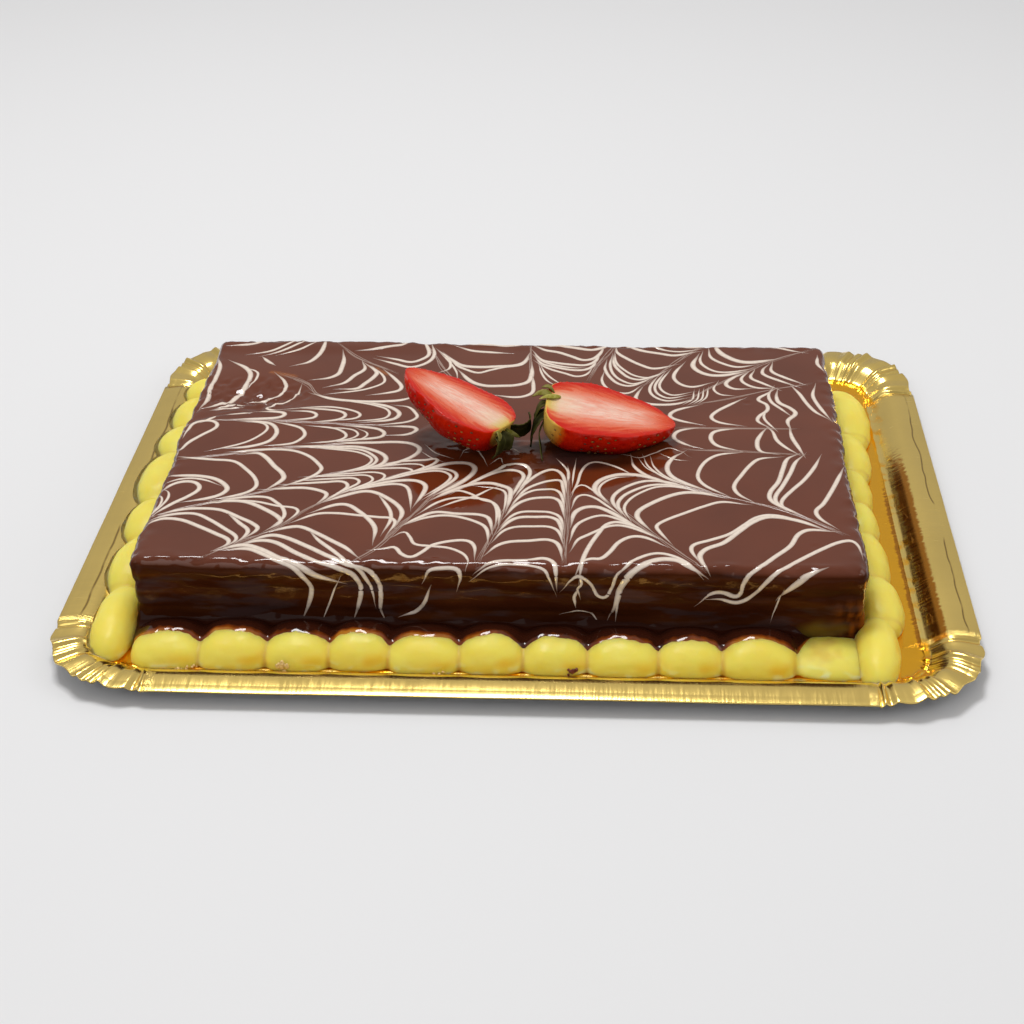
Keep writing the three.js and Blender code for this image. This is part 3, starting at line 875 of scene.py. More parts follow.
def run_off_glaze():
    sizes = bpy.context.scene.cake_glaze
    material, tree, shader = new_material("run-off glaze", sizes.dark, Roughness=0.05,
                                          IOR=1.45)
    where = place(tree)
    thin = attribute(tree, "thin")
    blotch = cloudy(tree, where, 420, 3)
    shade = node(tree, "ValToRGB", Fac=math_node(tree, "ADD", thin,
                 ramp(tree, blotch, 0.3, 0.7, -0.12, 0.12)))
    stops = shade.color_ramp.elements
    stops[0].position, stops[1].position = RUN_OFF_TONES[0][0], RUN_OFF_TONES[-1][0]
    stops.new(RUN_OFF_TONES[1][0])
    for stop, (_, tone) in zip(stops, RUN_OFF_TONES):
        stop.color = (*tone, 1)
    paint(tree, shader, "Base Color", shade.outputs[0])
    paint(tree, shader, "Specular IOR Level", ramp(tree, attribute(tree, "lip"), 0, 1, 0.1, 0.5))
    bumped(tree, shader, (cloudy(tree, where, 170, 2), 0.12, 0.3))
    return material


def shape_run_off(turn, start, end, seams, custard_tree):
    """A strip from the cake's side over the inner slopes of one row of custard."""
    to_tray = Matrix.Rotation(math.radians(turn), 4, "Z")
    columns, rows = int((end - start) / 0.55), 26
    bm = bmesh.new()
    thin, lip = float_layers(bm, "thin", "lip")
    verts = bmesh.ops.create_grid(bm, x_segments=columns, y_segments=rows, size=0.5)["verts"]
    for vert in verts:
        x = blend(start, end, vert.co.x + 0.5)
        share = 0.5 - vert.co.y
        gap = min(abs(x - s) for s in seams)
        dip = math.exp(-(gap / 2.1) ** 2)
        ends = smoothstep(0, 3, x - start) * smoothstep(0, 9, end - x)
        reach = 11.3 + 0.7 * dip + 1.3 * noise_at(x / 7, turn)
        reach = (reach + 0.7 * noise_at(x / 2.1, turn, 3)) * ends
        d = blend(-2.5, reach, share)
        place_at = to_tray @ Vector((x, -CAKE_HALF_Y - d, 0))
        custard = height_under(custard_tree, place_at.x, place_at.y, 0.9)
        bead = 0.26 + 0.6 * noise_at(x / 5, 2.2, turn)
        pool = 4.6 + 0.5 * dip + 3.6 * math.exp(-max(d + 0.6, 0) / 0.95)
        pool += 0.4 * noise_at(x / 11, 0, turn)
        film = custard + 0.30 + 0.35 * dip + bead * math.exp(-((share - 0.86) / 0.08) ** 2)
        top = max(pool, film) + 0.35 * math.exp(-abs(pool - film) / 0.6)
        top = blend(custard - 0.2, top, ends)
        edge = max(1 - max(share, 0.0) ** 6, 0.0) ** 0.5
        place_at.z = blend(custard - 0.25, top, edge)
        over = smoothstep(0.5, 2.0, top - custard)
        vert[thin] = smoothstep(0.72, 0.98, share) * (1 - 0.8 * over) * (1 - 0.5 * dip)
        vert[thin] *= 0.75 + 0.7 * noise_at(x / 14, 6.6, turn)
        vert[lip] = smoothstep(0.66, 0.84, share)
        vert.co = place_at
    bmesh.ops.smooth_vert(bm, verts=bm.verts, factor=0.5,
                          use_axis_x=False, use_axis_y=False, use_axis_z=True)
    face_up(bm)
    return bm


class CAKE_OT_run_off(bpy.types.Operator):
    """Lets the glaze run down on to the front and back rows of custard"""
    bl_idname = "cake.run_off"
    bl_label = "Glaze round the foot"

    def execute(self, context):
        material = run_off_glaze()
        for side, turn, ends in (("front", 0, (-117.5, 92)), ("back", 180, (-100, 112))):
            tree = surface_of(f"custard_row_{side}")
            boxes = [mm_box(name) for name in custard_nodes(side)[:-1]]
            seams = [high.x if turn == 0 else -low.x for low, high in boxes]
            finished(f"run_off_{side}", shape_run_off(turn, *ends, seams, tree),
                     material, "chocolate_glaze")
        return {"FINISHED"}


# ---- icing web -------------------------------------------------------------------------

THIN_ICING = (0.256, 0.147, 0.1116)
HAIR_WIDTH = 0.44         # the widest of the hairs that a pick draws
WEB_REACH = 109.8         # how far left and right the web may go

# Feathered strokes on the top, from the cake's middle: width in mm, then points. A stroke
# past the front edge goes on down the side, with y counting on.
WEB = [
    # front middle, either side of the two upright drags
    (1.5, (-15, -31), (-10, -25), (-3, -17.5), (2, -13.5), (7, -14), (8.6, -18), (7, -25),
     (4.5, -33)),
    (1.6, (-12, -28), (-6, -21), (0, -17), (4.5, -17), (6.6, -20), (5.5, -25), (3.2, -34)),
    (2.0, (-22, -36), (-17, -31), (-10, -26), (-4, -25), (0, -26.5), (2.6, -28.5), (3.0, -33),
     (2.2, -41)),
    (1.1, (-8, -27), (-2, -28), (1, -30), (1.7, -35), (1.3, -43)),
    (1.3, (-18, -33), (-14, -30), (-10, -31.5), (-6, -35), (-2, -37), (0, -42), (0.3, -50)),
    (1.2, (-20, -41), (-14, -36.5), (-8, -33), (-4, -29), (-1, -27)),
    (1.3, (-25, -44), (-20, -37.5), (-15, -34.5), (-8, -34.3), (-3, -36), (-0.8, -41), (-0.6, -50)),
    (1.7, (-30, -51.5), (-25, -46.5), (-20, -43), (-13, -43.7), (-6, -44), (-3, -46), (-1.4, -54)),
    (1.5, (-28, -50), (-23, -46.5), (-17, -44.8), (-11, -46), (-5, -49.5), (-3, -53), (-2.3, -60)),
    (1.3, (-31.5, -57), (-28.5, -54.5), (-26.5, -57), (-24.5, -61), (-20, -62), (-14, -63),
     (-9.5, -66), (-7.6, -70), (-8, -73)),
    (1.6, (-37, -64.5), (-33, -63.5), (-30.5, -63), (-28, -66.5), (-25, -68), (-22, -65.5),
     (-19, -61.5), (-13, -59), (-8.5, -59), (-6.3, -62), (-5.8, -68)),
    (1.5, (5.5, -29), (9, -22), (12.5, -17.5), (16, -15.8), (18.6, -18), (20, -23), (20.8, -30)),
    (1.4, (4.6, -35), (8, -28), (12, -24.3), (16, -22.4), (18.6, -22.6), (19.4, -26), (20.5, -35)),
    (1.3, (3.2, -40), (6, -33), (10, -29), (14, -28), (17, -28.2), (19, -31), (20.5, -40)),
    (1.6, (2, -45), (5, -38), (9, -34.3), (14, -33), (17, -33.4), (19, -36), (20.5, -45)),
    (1.4, (1.2, -50), (4, -44.5), (7, -42), (12, -41.5), (16, -41.9), (19, -44.5), (20.6, -52)),
    (1.7, (0.3, -54), (3.2, -48), (6.5, -45.2), (12, -44.7), (16, -44.7), (18.7, -47), (20.4, -56)),
    (1.4, (-0.8, -59), (2, -53.2), (5.5, -50.8), (11, -50.3), (16, -50.4), (18.8, -52.8),
     (20.5, -60)),
    (1.7, (-2.4, -66), (0.5, -61.5), (4, -59.3), (10, -58.5), (16, -57.8), (19, -60.3),
     (20.5, -68)),
    (1.8, (-4.5, -74.5), (-1, -71), (4, -69.5), (10, -69.4), (15, -68.2), (17.8, -70),
     (18.7, -74), (19, -80)),
    (1.2, (-5.5, -77), (-1, -73), (4, -71.5), (10, -71.8), (15, -73.5), (17, -77), (18.3, -81.5)),
    (1.2, (20.8, -15.5), (21, -18.5), (21, -22)),
    (0.8, (18, -11.5), (20, -14.5), (21, -18)),
    (0.8, (23.2, -11), (22.7, -17), (22.4, -25)),
    (1.1, (42, -18.5), (36, -13.2), (30, -10.5), (27, -12), (25, -17), (24, -24), (22.3, -30)),
    (0.9, (22.4, -32), (23.4, -27), (25.6, -25), (28.5, -27.5), (31.5, -31.5), (34.5, -37)),
    (1.2, (22.6, -39), (24, -32.6), (26.5, -31), (30, -33), (33.3, -37), (38, -43)),
    (2.0, (22.7, -49), (23.6, -42), (26.5, -38.6), (30.5, -38.2), (34.5, -41), (38.5, -45),
     (43, -49.5)),
    (1.4, (22.6, -58), (24.2, -49.5), (28, -45), (32.5, -43.2), (37, -45.2), (42, -49),
     (47, -53.5)),
    (1.5, (23.2, -63), (25, -57.5), (28, -54.6), (31, -52), (34, -49.6), (38, -49), (43, -51.2),
     (50, -56.5)),
    (1.7, (25.8, -77), (26.8, -68), (28.5, -61), (31, -54), (33.5, -48.6), (36.5, -47),
     (41, -48.6), (46, -52.5)),
    (1.7, (24.8, -75), (26.6, -70), (29, -68.2), (32, -67.8), (34.5, -64.5), (37.5, -58.5),
     (41.5, -55.3), (45.5, -55.8), (51, -60)),
    (1.5, (36.8, -76), (40, -71), (44, -66.8), (49, -64.5), (54, -66), (58.5, -70.4), (61.5, -75)),
    # right of the front, leaning strokes
    (1.6, (41.3, -8), (42, -12.5), (45, -17.3), (50, -21.5), (57, -25.5)),
    (1.0, (45.3, -7.5), (46.6, -12.5), (50, -17.8), (56, -23.5)),
    (1.0, (47.6, -8), (48.6, -13), (52, -19), (59, -25)),
    (2.1, (32.5, -34), (29.6, -27.5), (31, -22.3), (36, -18.6), (41, -18), (46.5, -19.4),
     (54, -23.5)),
    (1.1, (34.5, -36), (31, -29), (32, -24), (36, -20.3), (41, -19.4)),
    (1.6, (38, -42), (35.3, -34.5), (36.5, -29.5), (41, -24.5), (46, -22), (52, -22.5), (60, -26)),
    (1.5, (39.5, -44), (37, -37), (38.6, -31.5), (43, -27), (48, -24.4), (54.5, -24.6), (62, -28)),
    (1.2, (41, -46), (39, -39), (40.6, -33.5), (44.5, -28.8), (49.5, -25.6), (56, -25.6),
     (64, -29)),
    (2.0, (47, -51.5), (43.2, -44.5), (43.4, -40.5), (47, -36), (53, -31.2), (58, -29),
     (63.5, -29.2), (70, -31.8)),
    (1.5, (53, -58.5), (49.7, -52), (49, -48.8), (51.6, -45.6), (58, -41), (64, -37),
     (69.5, -34.4), (77, -35.8)),
    (1.6, (61.5, -69), (59.2, -62.5), (60, -59.4), (65, -56.6), (71, -53), (76, -47.5),
     (79.5, -43.6), (83.5, -42), (88.5, -43), (95, -46.5)),
    (2.0, (64, -73.5), (61.6, -66), (63.5, -61.8), (69, -58), (74, -51.5), (79, -45.6), (84, -43),
     (92, -44.8), (100, -49.5)),
    (1.8, (61.8, -84.5), (64.5, -82), (68, -81.2), (73, -82.3), (74.4, -78), (76, -74.5),
     (79, -71), (84, -65), (89, -59), (92, -52.5), (95.5, -50), (103, -50.8)),
    (1.7, (64.5, -83.4), (68, -83.4), (73, -84.4), (77, -82.4), (81, -77), (86, -71.4), (93, -65),
     (99, -60), (103.5, -56.8), (107.5, -55.8), (109.5, -58), (110, -63)),
    (2.6, (97.5, -71.5), (94, -73.6), (90.5, -76.6), (87, -80), (85.6, -82)),
    (0.8, (85.9, -81), (84.8, -85), (83.6, -89.5)),
    # right side of the top
    (1.9, (58, -4.5), (54, -9), (52.8, -14), (54.2, -19), (58.5, -23.3), (65, -27.5)),
    (1.5, (77, -3.5), (70, -5), (66, -8.5), (63.4, -14), (62.6, -20), (65, -25), (71, -30.3)),
    (1.6, (89, -6.2), (83, -7.5), (80, -11), (76.5, -18), (73.8, -25), (75, -29.8), (79, -34)),
    (1.8, (95.5, -4.2), (92, -7.2), (90, -14), (88, -22), (85, -28.5), (84.8, -33), (88, -37),
     (94, -42)),
    (1.7, (97.2, -5), (94.5, -9.2), (92, -17), (89, -25), (86.5, -31), (86.7, -35), (91, -39.5)),
    (1.6, (102.6, -5.8), (100, -13), (96, -21), (92, -27), (88.5, -33), (88.2, -36.4), (91, -40)),
    (1.7, (109.3, -13), (107, -20), (104, -28), (101, -35), (98.4, -39.3), (99.3, -43.5),
     (103, -48)),
    (1.7, (63.5, -0.6), (57.5, 2.2), (55.4, 6.6), (57.5, 10.6), (64, 12.8)),
    (1.7, (76, -2), (69.6, 1), (67.6, 6), (69.4, 10.6), (77, 12.8)),
    (1.8, (88, -4), (83.6, -2.4), (82.8, 3.5), (84.4, 9), (86.4, 13)),
    (1.6, (95.5, -4), (91.8, 0.5), (89.4, 5.2), (88.4, 11), (86.8, 14)),
    (1.7, (97.4, -4.6), (96, 1), (94.6, 7), (94.2, 13.5)),
    (1.7, (64.5, 15), (57.5, 17.6), (54.4, 20.6), (56.5, 24.6), (64, 28.6)),
    (1.6, (78, 14.8), (71, 16.8), (68.4, 20), (70, 24), (74.2, 28.6), (80, 34)),
    (1.6, (87.6, 13.6), (84, 18), (84.6, 21.6), (87.6, 26), (87.6, 30), (85, 33.6), (88.4, 38),
     (91, 41)),
    (1.2, (89.4, 12.5), (86.6, 18.5), (86.2, 22), (87.4, 25.5)),
    (1.9, (94.6, 12.5), (94, 18.5), (97, 23.8), (95.6, 27.5), (92, 31.6), (91.4, 36), (92, 40)),
    (1.5, (95.2, 22.4), (92.4, 27), (89.4, 32), (88.8, 37), (90.6, 42)),
    (1.6, (97, 44), (99.5, 38), (101.5, 31), (104, 25), (107.4, 20.6)),
    (1.6, (105.4, 44), (104, 37), (105.2, 30), (107, 24), (108.4, 20)),
    (1.1, (76, 36), (72, 36.8), (70, 40.6), (71.4, 45)),
    (1.8, (82.5, 41.3), (77, 41), (74.4, 44.4), (77, 49), (81.5, 53)),
    (1.5, (91, 41.8), (85, 42), (81, 45), (80, 48.6), (83, 54)),
    (1.6, (92, 41.4), (87, 45.6), (83.4, 49.4), (84.8, 54.5)),
    (1.7, (98.6, 43.6), (93, 47.6), (88, 52), (88, 55.6), (90, 59)),
    (1.7, (101, 45.4), (95, 50), (91, 54.4), (91.6, 60)),
    # back right
    (0.8, (60, 30), (62.4, 33), (63, 38)),
    (0.8, (61.6, 29.8), (64, 33), (64.8, 38.6)),
    (0.8, (63.2, 30.2), (65.6, 33.4), (66.4, 39.4)),
    (0.8, (65, 31), (67.2, 34.6), (68, 40.4)),
    (1.6, (69, 45), (63, 42), (59, 43.4), (56.4, 48), (57, 53), (60, 59.5)),
    (2.2, (82, 54), (74, 51), (69, 51), (65, 54), (63.3, 58.6), (65.4, 66)),
    (1.4, (84, 56), (76, 53.4), (71, 54), (67, 58.4), (66, 62.6), (67, 68)),
    (1.6, (85.5, 59), (79, 57.4), (74, 60), (70, 64.6), (69.4, 71)),
    (2.6, (93, 63.4), (85, 61), (80, 61.6), (75, 66), (72.4, 71), (72, 76)),
    (1.4, (103, 69), (97, 71), (92, 73.6), (87, 77)),
    (1.6, (109, 56), (107.6, 60), (108, 65)),
    (1.8, (45, 40.5), (43.4, 36), (43, 32), (46, 29.4), (51, 28.4), (57, 29.4), (62, 32.5)),
    (1.3, (50.5, 49), (48, 42), (48, 37), (50.4, 33), (54, 31.4), (60, 33.6)),
    (1.2, (53, 52), (50, 44), (49.6, 39.4), (51, 35.6), (54.4, 33.4), (61, 36)),
    (1.2, (55, 54), (51.8, 46), (51.2, 41.6), (52.8, 37.6), (56, 35.6), (62, 38)),
    (1.3, (44.5, 42), (40.5, 36.8), (36, 37.2), (32.6, 40.6), (31, 46), (31.6, 52)),
    (1.5, (46.5, 45.5), (41, 42), (37, 43.4), (34, 48), (32, 55), (32.5, 61)),
    (1.3, (49, 48.5), (42.4, 43.6), (38, 46), (35, 51), (33.8, 58), (34.4, 65)),
    (1.5, (52, 52), (45, 47), (41, 48), (38, 52), (35.4, 58), (34.8, 66)),
    (1.2, (54, 54), (48, 48.6), (43, 49.6), (39, 54), (36, 60), (35.4, 68)),
    (1.8, (57, 58.5), (49.5, 55.5), (45, 58), (40, 63), (36.4, 68), (35.8, 73)),
    (1.9, (65, 69), (57, 66), (52, 67.4), (45, 70), (40, 74), (37.5, 78)),
    (1.3, (66, 71), (59, 69), (52, 71), (46, 75)),
    (1.4, (70, 74), (62, 72.4), (56, 75.5)),
    # back middle
    (1.4, (7.2, 60), (9.5, 57), (13, 54), (18, 51), (22, 48.8), (25.4, 50.4), (27.6, 56)),
    (1.7, (6.6, 64), (9.5, 58.4), (14, 56), (20, 53.8), (24.6, 54), (27.6, 57), (29, 63)),
    (1.4, (6.4, 65), (10, 60), (15, 57), (21, 55.4), (25, 55.6)),
    (1.8, (6, 68), (9, 61.6), (14, 59.4), (20, 58), (25, 57.8), (28.4, 61), (30, 68)),
    (1.9, (5.6, 73), (10, 69.4), (15, 67.6), (20, 64.4), (24, 61.8), (27.6, 63), (30, 67),
     (31.5, 73)),
    (1.9, (5, 77), (9, 73.4), (14, 72.8), (20, 71.6), (27, 70), (31.5, 72.4), (34, 77)),
    (1.0, (14.5, 42), (11.6, 45.6), (9.6, 51), (8.4, 57)),
    (1.0, (17, 42.5), (13.4, 47), (10.6, 52), (9, 57)),
    (1.7, (-6, 34.5), (0, 33), (4, 33.6), (6.8, 36.4), (7, 42), (6.4, 49)),
    (2.1, (-20, 52.5), (-15, 44.5), (-10, 41.5), (-4, 41.4), (1, 42), (5, 44.6), (6, 50),
     (5.8, 58)),
    (2.2, (-26, 65), (-22.5, 59.6), (-19, 56.4), (-13, 55.4), (-6, 56), (0, 57), (3, 59.6),
     (4.4, 66)),
    (1.5, (-24, 62), (-21, 56.4), (-17, 53), (-13, 51), (-9, 53), (-4, 55.4), (2, 57.4), (4.6, 62)),
    (1.8, (-22, 71), (-16, 68), (-10, 67), (-3, 66.4)),
    (1.9, (-24, 76.5), (-17, 73.2), (-8, 72.5), (0, 72.6), (4, 75)),
    (1.7, (-49, 62.5), (-43, 60.4), (-38, 58.6), (-34.4, 60.6), (-32, 64.4), (-33, 70),
     (-35.6, 76)),
    (1.7, (-50, 60.5), (-43, 57), (-38, 54.8), (-34, 56.4), (-31, 60), (-30, 65), (-31.5, 72)),
    (1.9, (-57, 67), (-52, 68), (-46, 70), (-42, 71.4), (-38.5, 76)),
    (1.4, (-27, 51), (-24, 53.4), (-23.4, 57), (-25, 62.4), (-29, 68)),
    (1.0, (-20, 46), (-21, 52), (-24, 59), (-28, 66)),
    # back left
    (1.7, (-49, 34), (-44, 35.4), (-40, 37.4), (-39.4, 40.4), (-42, 45.4), (-46.5, 52)),
    (1.2, (-64, 34.6), (-55, 36.6), (-50, 39), (-46, 43), (-46.6, 47.6), (-51, 54.5)),
    (2.0, (-61, 38), (-55, 38.4), (-52.6, 42), (-50, 47), (-49.4, 51), (-54, 57)),
    (1.9, (-65, 40), (-60, 42.4), (-57, 48), (-54, 53), (-55.4, 58.4)),
    (2.0, (-71, 44.8), (-66, 46), (-63, 49), (-62.4, 54), (-62.4, 60), (-63.4, 65.5)),
    (2.0, (-79.5, 55.4), (-75, 58), (-72.4, 63), (-71, 69), (-71, 76)),
    (1.6, (-91.4, 60.4), (-89.6, 58), (-88, 56.4)),
    (1.3, (-97, 64), (-90, 66.4), (-85, 70.6), (-80, 76)),
    (1.3, (-92, 63), (-86, 66.6), (-80, 72), (-76, 77)),
    (1.2, (-86, 64), (-79, 68), (-74, 73)),
    (1.8, (-105, 69.6), (-98, 71), (-91, 75)),
    (1.9, (-108.6, 61), (-106.6, 54), (-106.4, 45), (-107, 38), (-106.4, 30), (-108, 24)),
    (2.1, (-103, 58), (-97, 53), (-94.4, 48), (-94.8, 41), (-96.4, 34), (-100, 28.6), (-107, 24)),
    (1.1, (-97, 53), (-92.4, 50), (-91.8, 46), (-93.8, 40)),
    (1.6, (-85, 48.5), (-81.6, 44), (-80.4, 40), (-82, 35), (-86.4, 31.6), (-92, 30)),
    (1.3, (-75, 41), (-75.4, 36), (-77.6, 31), (-83, 27), (-84.6, 24.4), (-78, 23.4), (-69, 24.4),
     (-62, 24.6), (-55, 22.6), (-51.4, 19.6), (-53, 16.8), (-61, 15)),
    (1.9, (-70, 35), (-62, 30.6), (-52, 29), (-44, 29.4), (-38, 30.6), (-33, 34)),
    (1.2, (-60, 29.6), (-52, 28), (-46.4, 26), (-42.6, 23.6), (-41.4, 20), (-43.4, 17),
     (-53, 14.8)),
    (1.9, (-52, 28.6), (-43.4, 26.2), (-39.4, 23.2), (-38, 20), (-40, 16.6), (-49, 14.2)),
    (1.4, (-40, 26.6), (-35.4, 25.4), (-32.6, 21.4), (-31.8, 18), (-35, 14.8), (-44, 12.6)),
    (1.5, (-72, 23.4), (-62.4, 22.6), (-57.6, 21), (-56.4, 18.4), (-59, 15.6), (-67, 13.8)),
    (1.5, (-76, 21.4), (-69, 21), (-66.4, 19), (-67.4, 16.6), (-76, 14.8)),
    (1.9, (-87, 20.6), (-80, 20.6), (-77.4, 19.2), (-78.6, 16.8), (-84, 15.6), (-94, 14.8)),
    (1.5, (-101, 25), (-98, 27), (-94.6, 27.4)),
    (1.6, (-102, 23.4), (-98.6, 24.6), (-95, 25.2)),
    (1.3, (-96, 18.4), (-93, 19), (-90.4, 19.4)),
    (1.5, (-104, 13.4), (-102.4, 15), (-100.6, 17.4)),
    # left side of the top
    (1.0, (-62, 0.4), (-55, 1.6), (-51.4, 3.6), (-50.4, 6), (-53, 9), (-62, 10.4)),
    (1.3, (-66, -0.6), (-57.6, 1), (-54.4, 3.6), (-55, 6.6), (-59, 9.6), (-68, 11.2)),
    (1.7, (-55, 1.6), (-46, 3), (-42.2, 4.6), (-41.8, 7.4), (-45, 10), (-56, 11.8)),
    (1.0, (-58, 0.6), (-50, 2), (-47.4, 4.6), (-47.6, 7), (-51, 9.6)),
    (1.8, (-40, 5.4), (-34, 6), (-31, 9), (-32.6, 11.2), (-42, 11.6)),
    (1.5, (-80, -2.6), (-72, -1), (-69, 2.4), (-68.4, 6), (-71, 10), (-80, 13.4)),
    (1.8, (-94, -4.6), (-86, -3.4), (-80, 0), (-78, 5), (-79, 9.6), (-82, 12.6), (-92, 14)),
    (1.2, (-98, -6), (-88, -1), (-83.4, 4), (-81.6, 9), (-84, 12.4), (-91, 13.2)),
    (1.6, (-110, -10), (-107, -2), (-103, 4), (-99.4, 8.8), (-99.4, 11.6), (-102, 13.6),
     (-106.4, 12.6), (-108.6, 8), (-109.4, 2)),
    (1.9, (-58, -0.6), (-45, 0.2), (-37, 0.8), (-31.4, -0.4), (-28.6, -4), (-31, -9.4),
     (-37, -14), (-45, -17.6)),
    (1.9, (-72, -2.8), (-57, -3), (-50, -2.8), (-45, -4.4), (-40.6, -7.4), (-39, -11), (-41, -15),
     (-51, -19.4)),
    (1.4, (-66, -3.6), (-54, -4), (-47.6, -5), (-43.4, -8.6), (-42, -12), (-44.4, -15.8),
     (-54, -20.2)),
    (1.2, (-62, -4), (-50, -6), (-45, -9), (-43.6, -12), (-46, -16), (-56, -21)),
    (1.6, (-91, -7), (-80, -5.2), (-71, -5.6), (-65, -9), (-60.6, -14.6), (-59.4, -18),
     (-62, -22.4), (-70, -28.4)),
    (2.0, (-87, -8.4), (-82, -7.6), (-79, -10), (-75, -16), (-71.6, -20.6), (-71, -24.2),
     (-75.5, -31)),
    (1.6, (-108, -10.6), (-96, -12), (-89, -13), (-84, -18), (-80, -24), (-79, -29), (-82, -33),
     (-91, -37)),
    (2.0, (-109.4, -23), (-104, -22.4), (-98, -22.6), (-93, -24.2), (-89, -28), (-88, -31.4),
     (-91, -35.2), (-100, -38.6)),
    (1.2, (-109.4, -28), (-106, -25.2), (-101, -24), (-96, -25), (-91, -28)),
    (1.8, (-109.4, -33), (-106, -27.8), (-102, -26), (-98.6, -27), (-97, -30.4), (-99, -34.4),
     (-103.4, -39.5), (-109, -47)),
    (1.1, (-108.6, -31), (-106.4, -33), (-105.8, -37), (-107.4, -42), (-109.6, -47)),
    (1.0, (-109.6, -34), (-107.6, -37), (-108, -42), (-110, -47)),
    # front left
    (1.1, (-62, -22), (-48, -20), (-42, -19.4), (-38.4, -21), (-39, -24), (-44, -27.6), (-53, -34)),
    (1.1, (-64, -22.6), (-50, -21.6), (-44, -21.4), (-41.8, -24), (-44, -27), (-52, -33)),
    (1.3, (-66, -25), (-53, -23.4), (-48, -23.2), (-46, -25.4), (-48, -28.4), (-55, -35.5)),
    (1.5, (-70, -27.4), (-57, -25.8), (-51.4, -25.4), (-49.4, -28), (-51, -31.4), (-56.5, -38.5)),
    (1.8, (-76, -30.6), (-64, -29.4), (-58, -31), (-55.4, -33.6), (-58, -39.5)),
    (1.5, (-90, -37.4), (-79, -35), (-74, -35.4), (-71, -38), (-68, -42), (-67, -47), (-70, -53)),
    (1.3, (-92, -39.4), (-84, -37.6), (-77, -38), (-70, -40.4), (-64.4, -41.6), (-63, -44),
     (-66, -50)),
    (2.0, (-94, -39.8), (-86, -37.7), (-80, -38.4), (-73, -43), (-68.4, -47.4), (-67.6, -50),
     (-71, -54.5)),
    (1.8, (-107, -46.5), (-99, -43), (-92, -42.4), (-87, -43.4), (-81, -47.4), (-76, -51),
     (-74, -54), (-77, -59.5)),
    (1.7, (-85, -45), (-80, -51), (-76.8, -55), (-77.4, -59), (-79.5, -62.5)),
    (1.7, (-109, -49), (-101, -46), (-95, -45.8), (-90, -49), (-84, -54.4), (-80, -58.4),
     (-79.6, -61), (-82, -64.5)),
    (1.9, (-110, -53), (-105.4, -49), (-99, -49.4), (-92, -53.4), (-86, -57.4), (-82, -60.4),
     (-81.6, -63), (-84.5, -66)),
    (1.5, (-40, -14), (-33, -12), (-26, -11), (-22.4, -10.4), (-23, -13.4), (-27, -17), (-34, -22)),
    (1.0, (-42, -16), (-36, -14.6), (-30.6, -13.8), (-27, -14.4), (-26, -16.6), (-30, -20.4)),
    (1.2, (-47, -17.4), (-38, -16.8), (-32, -16.6), (-29.6, -18.2), (-31.4, -20.4), (-38, -25)),
    (1.5, (-45, -27.4), (-38, -24), (-32, -20), (-26, -17.4), (-20, -16.6), (-16, -18.4),
     (-15, -21.6), (-18, -27), (-24, -35)),
    (1.3, (-40, -25.4), (-32, -21.4), (-26, -18.8), (-21, -18), (-18, -19.4), (-16.8, -22),
     (-19, -27), (-24.6, -34)),
    (2.1, (-30, -20), (-24, -16.4), (-19, -13.4), (-14.6, -12.4), (-11, -13.2), (-9.4, -16.4),
     (-11, -21.4), (-15, -27), (-21, -33)),
    (1.9, (-49, -30.5), (-40, -26.6), (-33, -24.4), (-27.6, -24.4), (-24.6, -27), (-24.6, -31.4),
     (-26.8, -39)),
    (1.5, (-50, -31.5), (-40, -27.8), (-34, -26.6), (-30.6, -28), (-28.8, -33), (-27.8, -41)),
    (1.9, (-56, -38), (-49, -33.4), (-44, -31.2), (-40.6, -31.6), (-36.6, -34.4), (-32, -39.4),
     (-30.2, -44), (-31.4, -51)),
    (1.5, (-39, -33), (-36.2, -38), (-34, -43), (-33.4, -48), (-35, -55)),
    (1.9, (-58.5, -44), (-52, -39.6), (-48, -39.4), (-44, -43), (-40, -48), (-37.6, -53),
     (-37.4, -60)),
    (1.5, (-64, -50), (-57, -45), (-51, -44.4), (-44, -45.4), (-37, -46.4), (-33.4, -46.8),
     (-31.8, -49.4), (-33.6, -56)),
    (1.9, (-71, -56), (-65, -53), (-61, -52.4), (-56, -55.4), (-50, -60), (-45, -64), (-41, -68.8)),
    (1.7, (-57.5, -55), (-54, -60), (-48.4, -66), (-44.4, -71), (-41, -74), (-38.4, -78),
     (-36.4, -83), (-36, -86.5)),
    (2.1, (-76, -61.5), (-69.6, -57.6), (-65, -58.4), (-57, -63.4), (-50, -68.4), (-44, -72.6),
     (-38.4, -74.6), (-35.2, -78), (-34, -83), (-34.4, -89.5), (-33.4, -92.5)),
    (2.1, (-78, -63), (-71.6, -60.6), (-67, -61.6), (-60, -67), (-53, -71.4), (-47, -74),
     (-42, -77), (-40, -81.5), (-41, -87.5), (-42.6, -92.5)),
    (2.4, (-84, -66.4), (-77, -63.4), (-72, -65), (-66, -69), (-60, -72.4), (-54, -76.4),
     (-47.4, -79), (-46.2, -79.4)),
    (0.9, (-46.6, -79), (-48, -82), (-50, -87.5), (-52.2, -93)),
    (2.1, (-82, -66.4), (-75, -65.4), (-70, -68), (-65, -71.4), (-60, -74.4), (-56.4, -78.5),
     (-55, -82), (-56.2, -87.5), (-58.2, -92.5)),
    # down the front
    (1.9, (-20.6, -78), (-19, -74.6), (-15, -73.6), (-10.8, -74), (-9.8, -77), (-10.6, -80.4)),
    (1.8, (-19.4, -82), (-21, -86.5), (-23.4, -89.6), (-27, -91)),
    (1.4, (21, -80.4), (23, -77.4), (25.6, -75.8), (29, -78.4), (31, -82.4), (33.4, -83.2),
     (35.4, -80.4), (36.8, -75.4), (40, -71.4)),
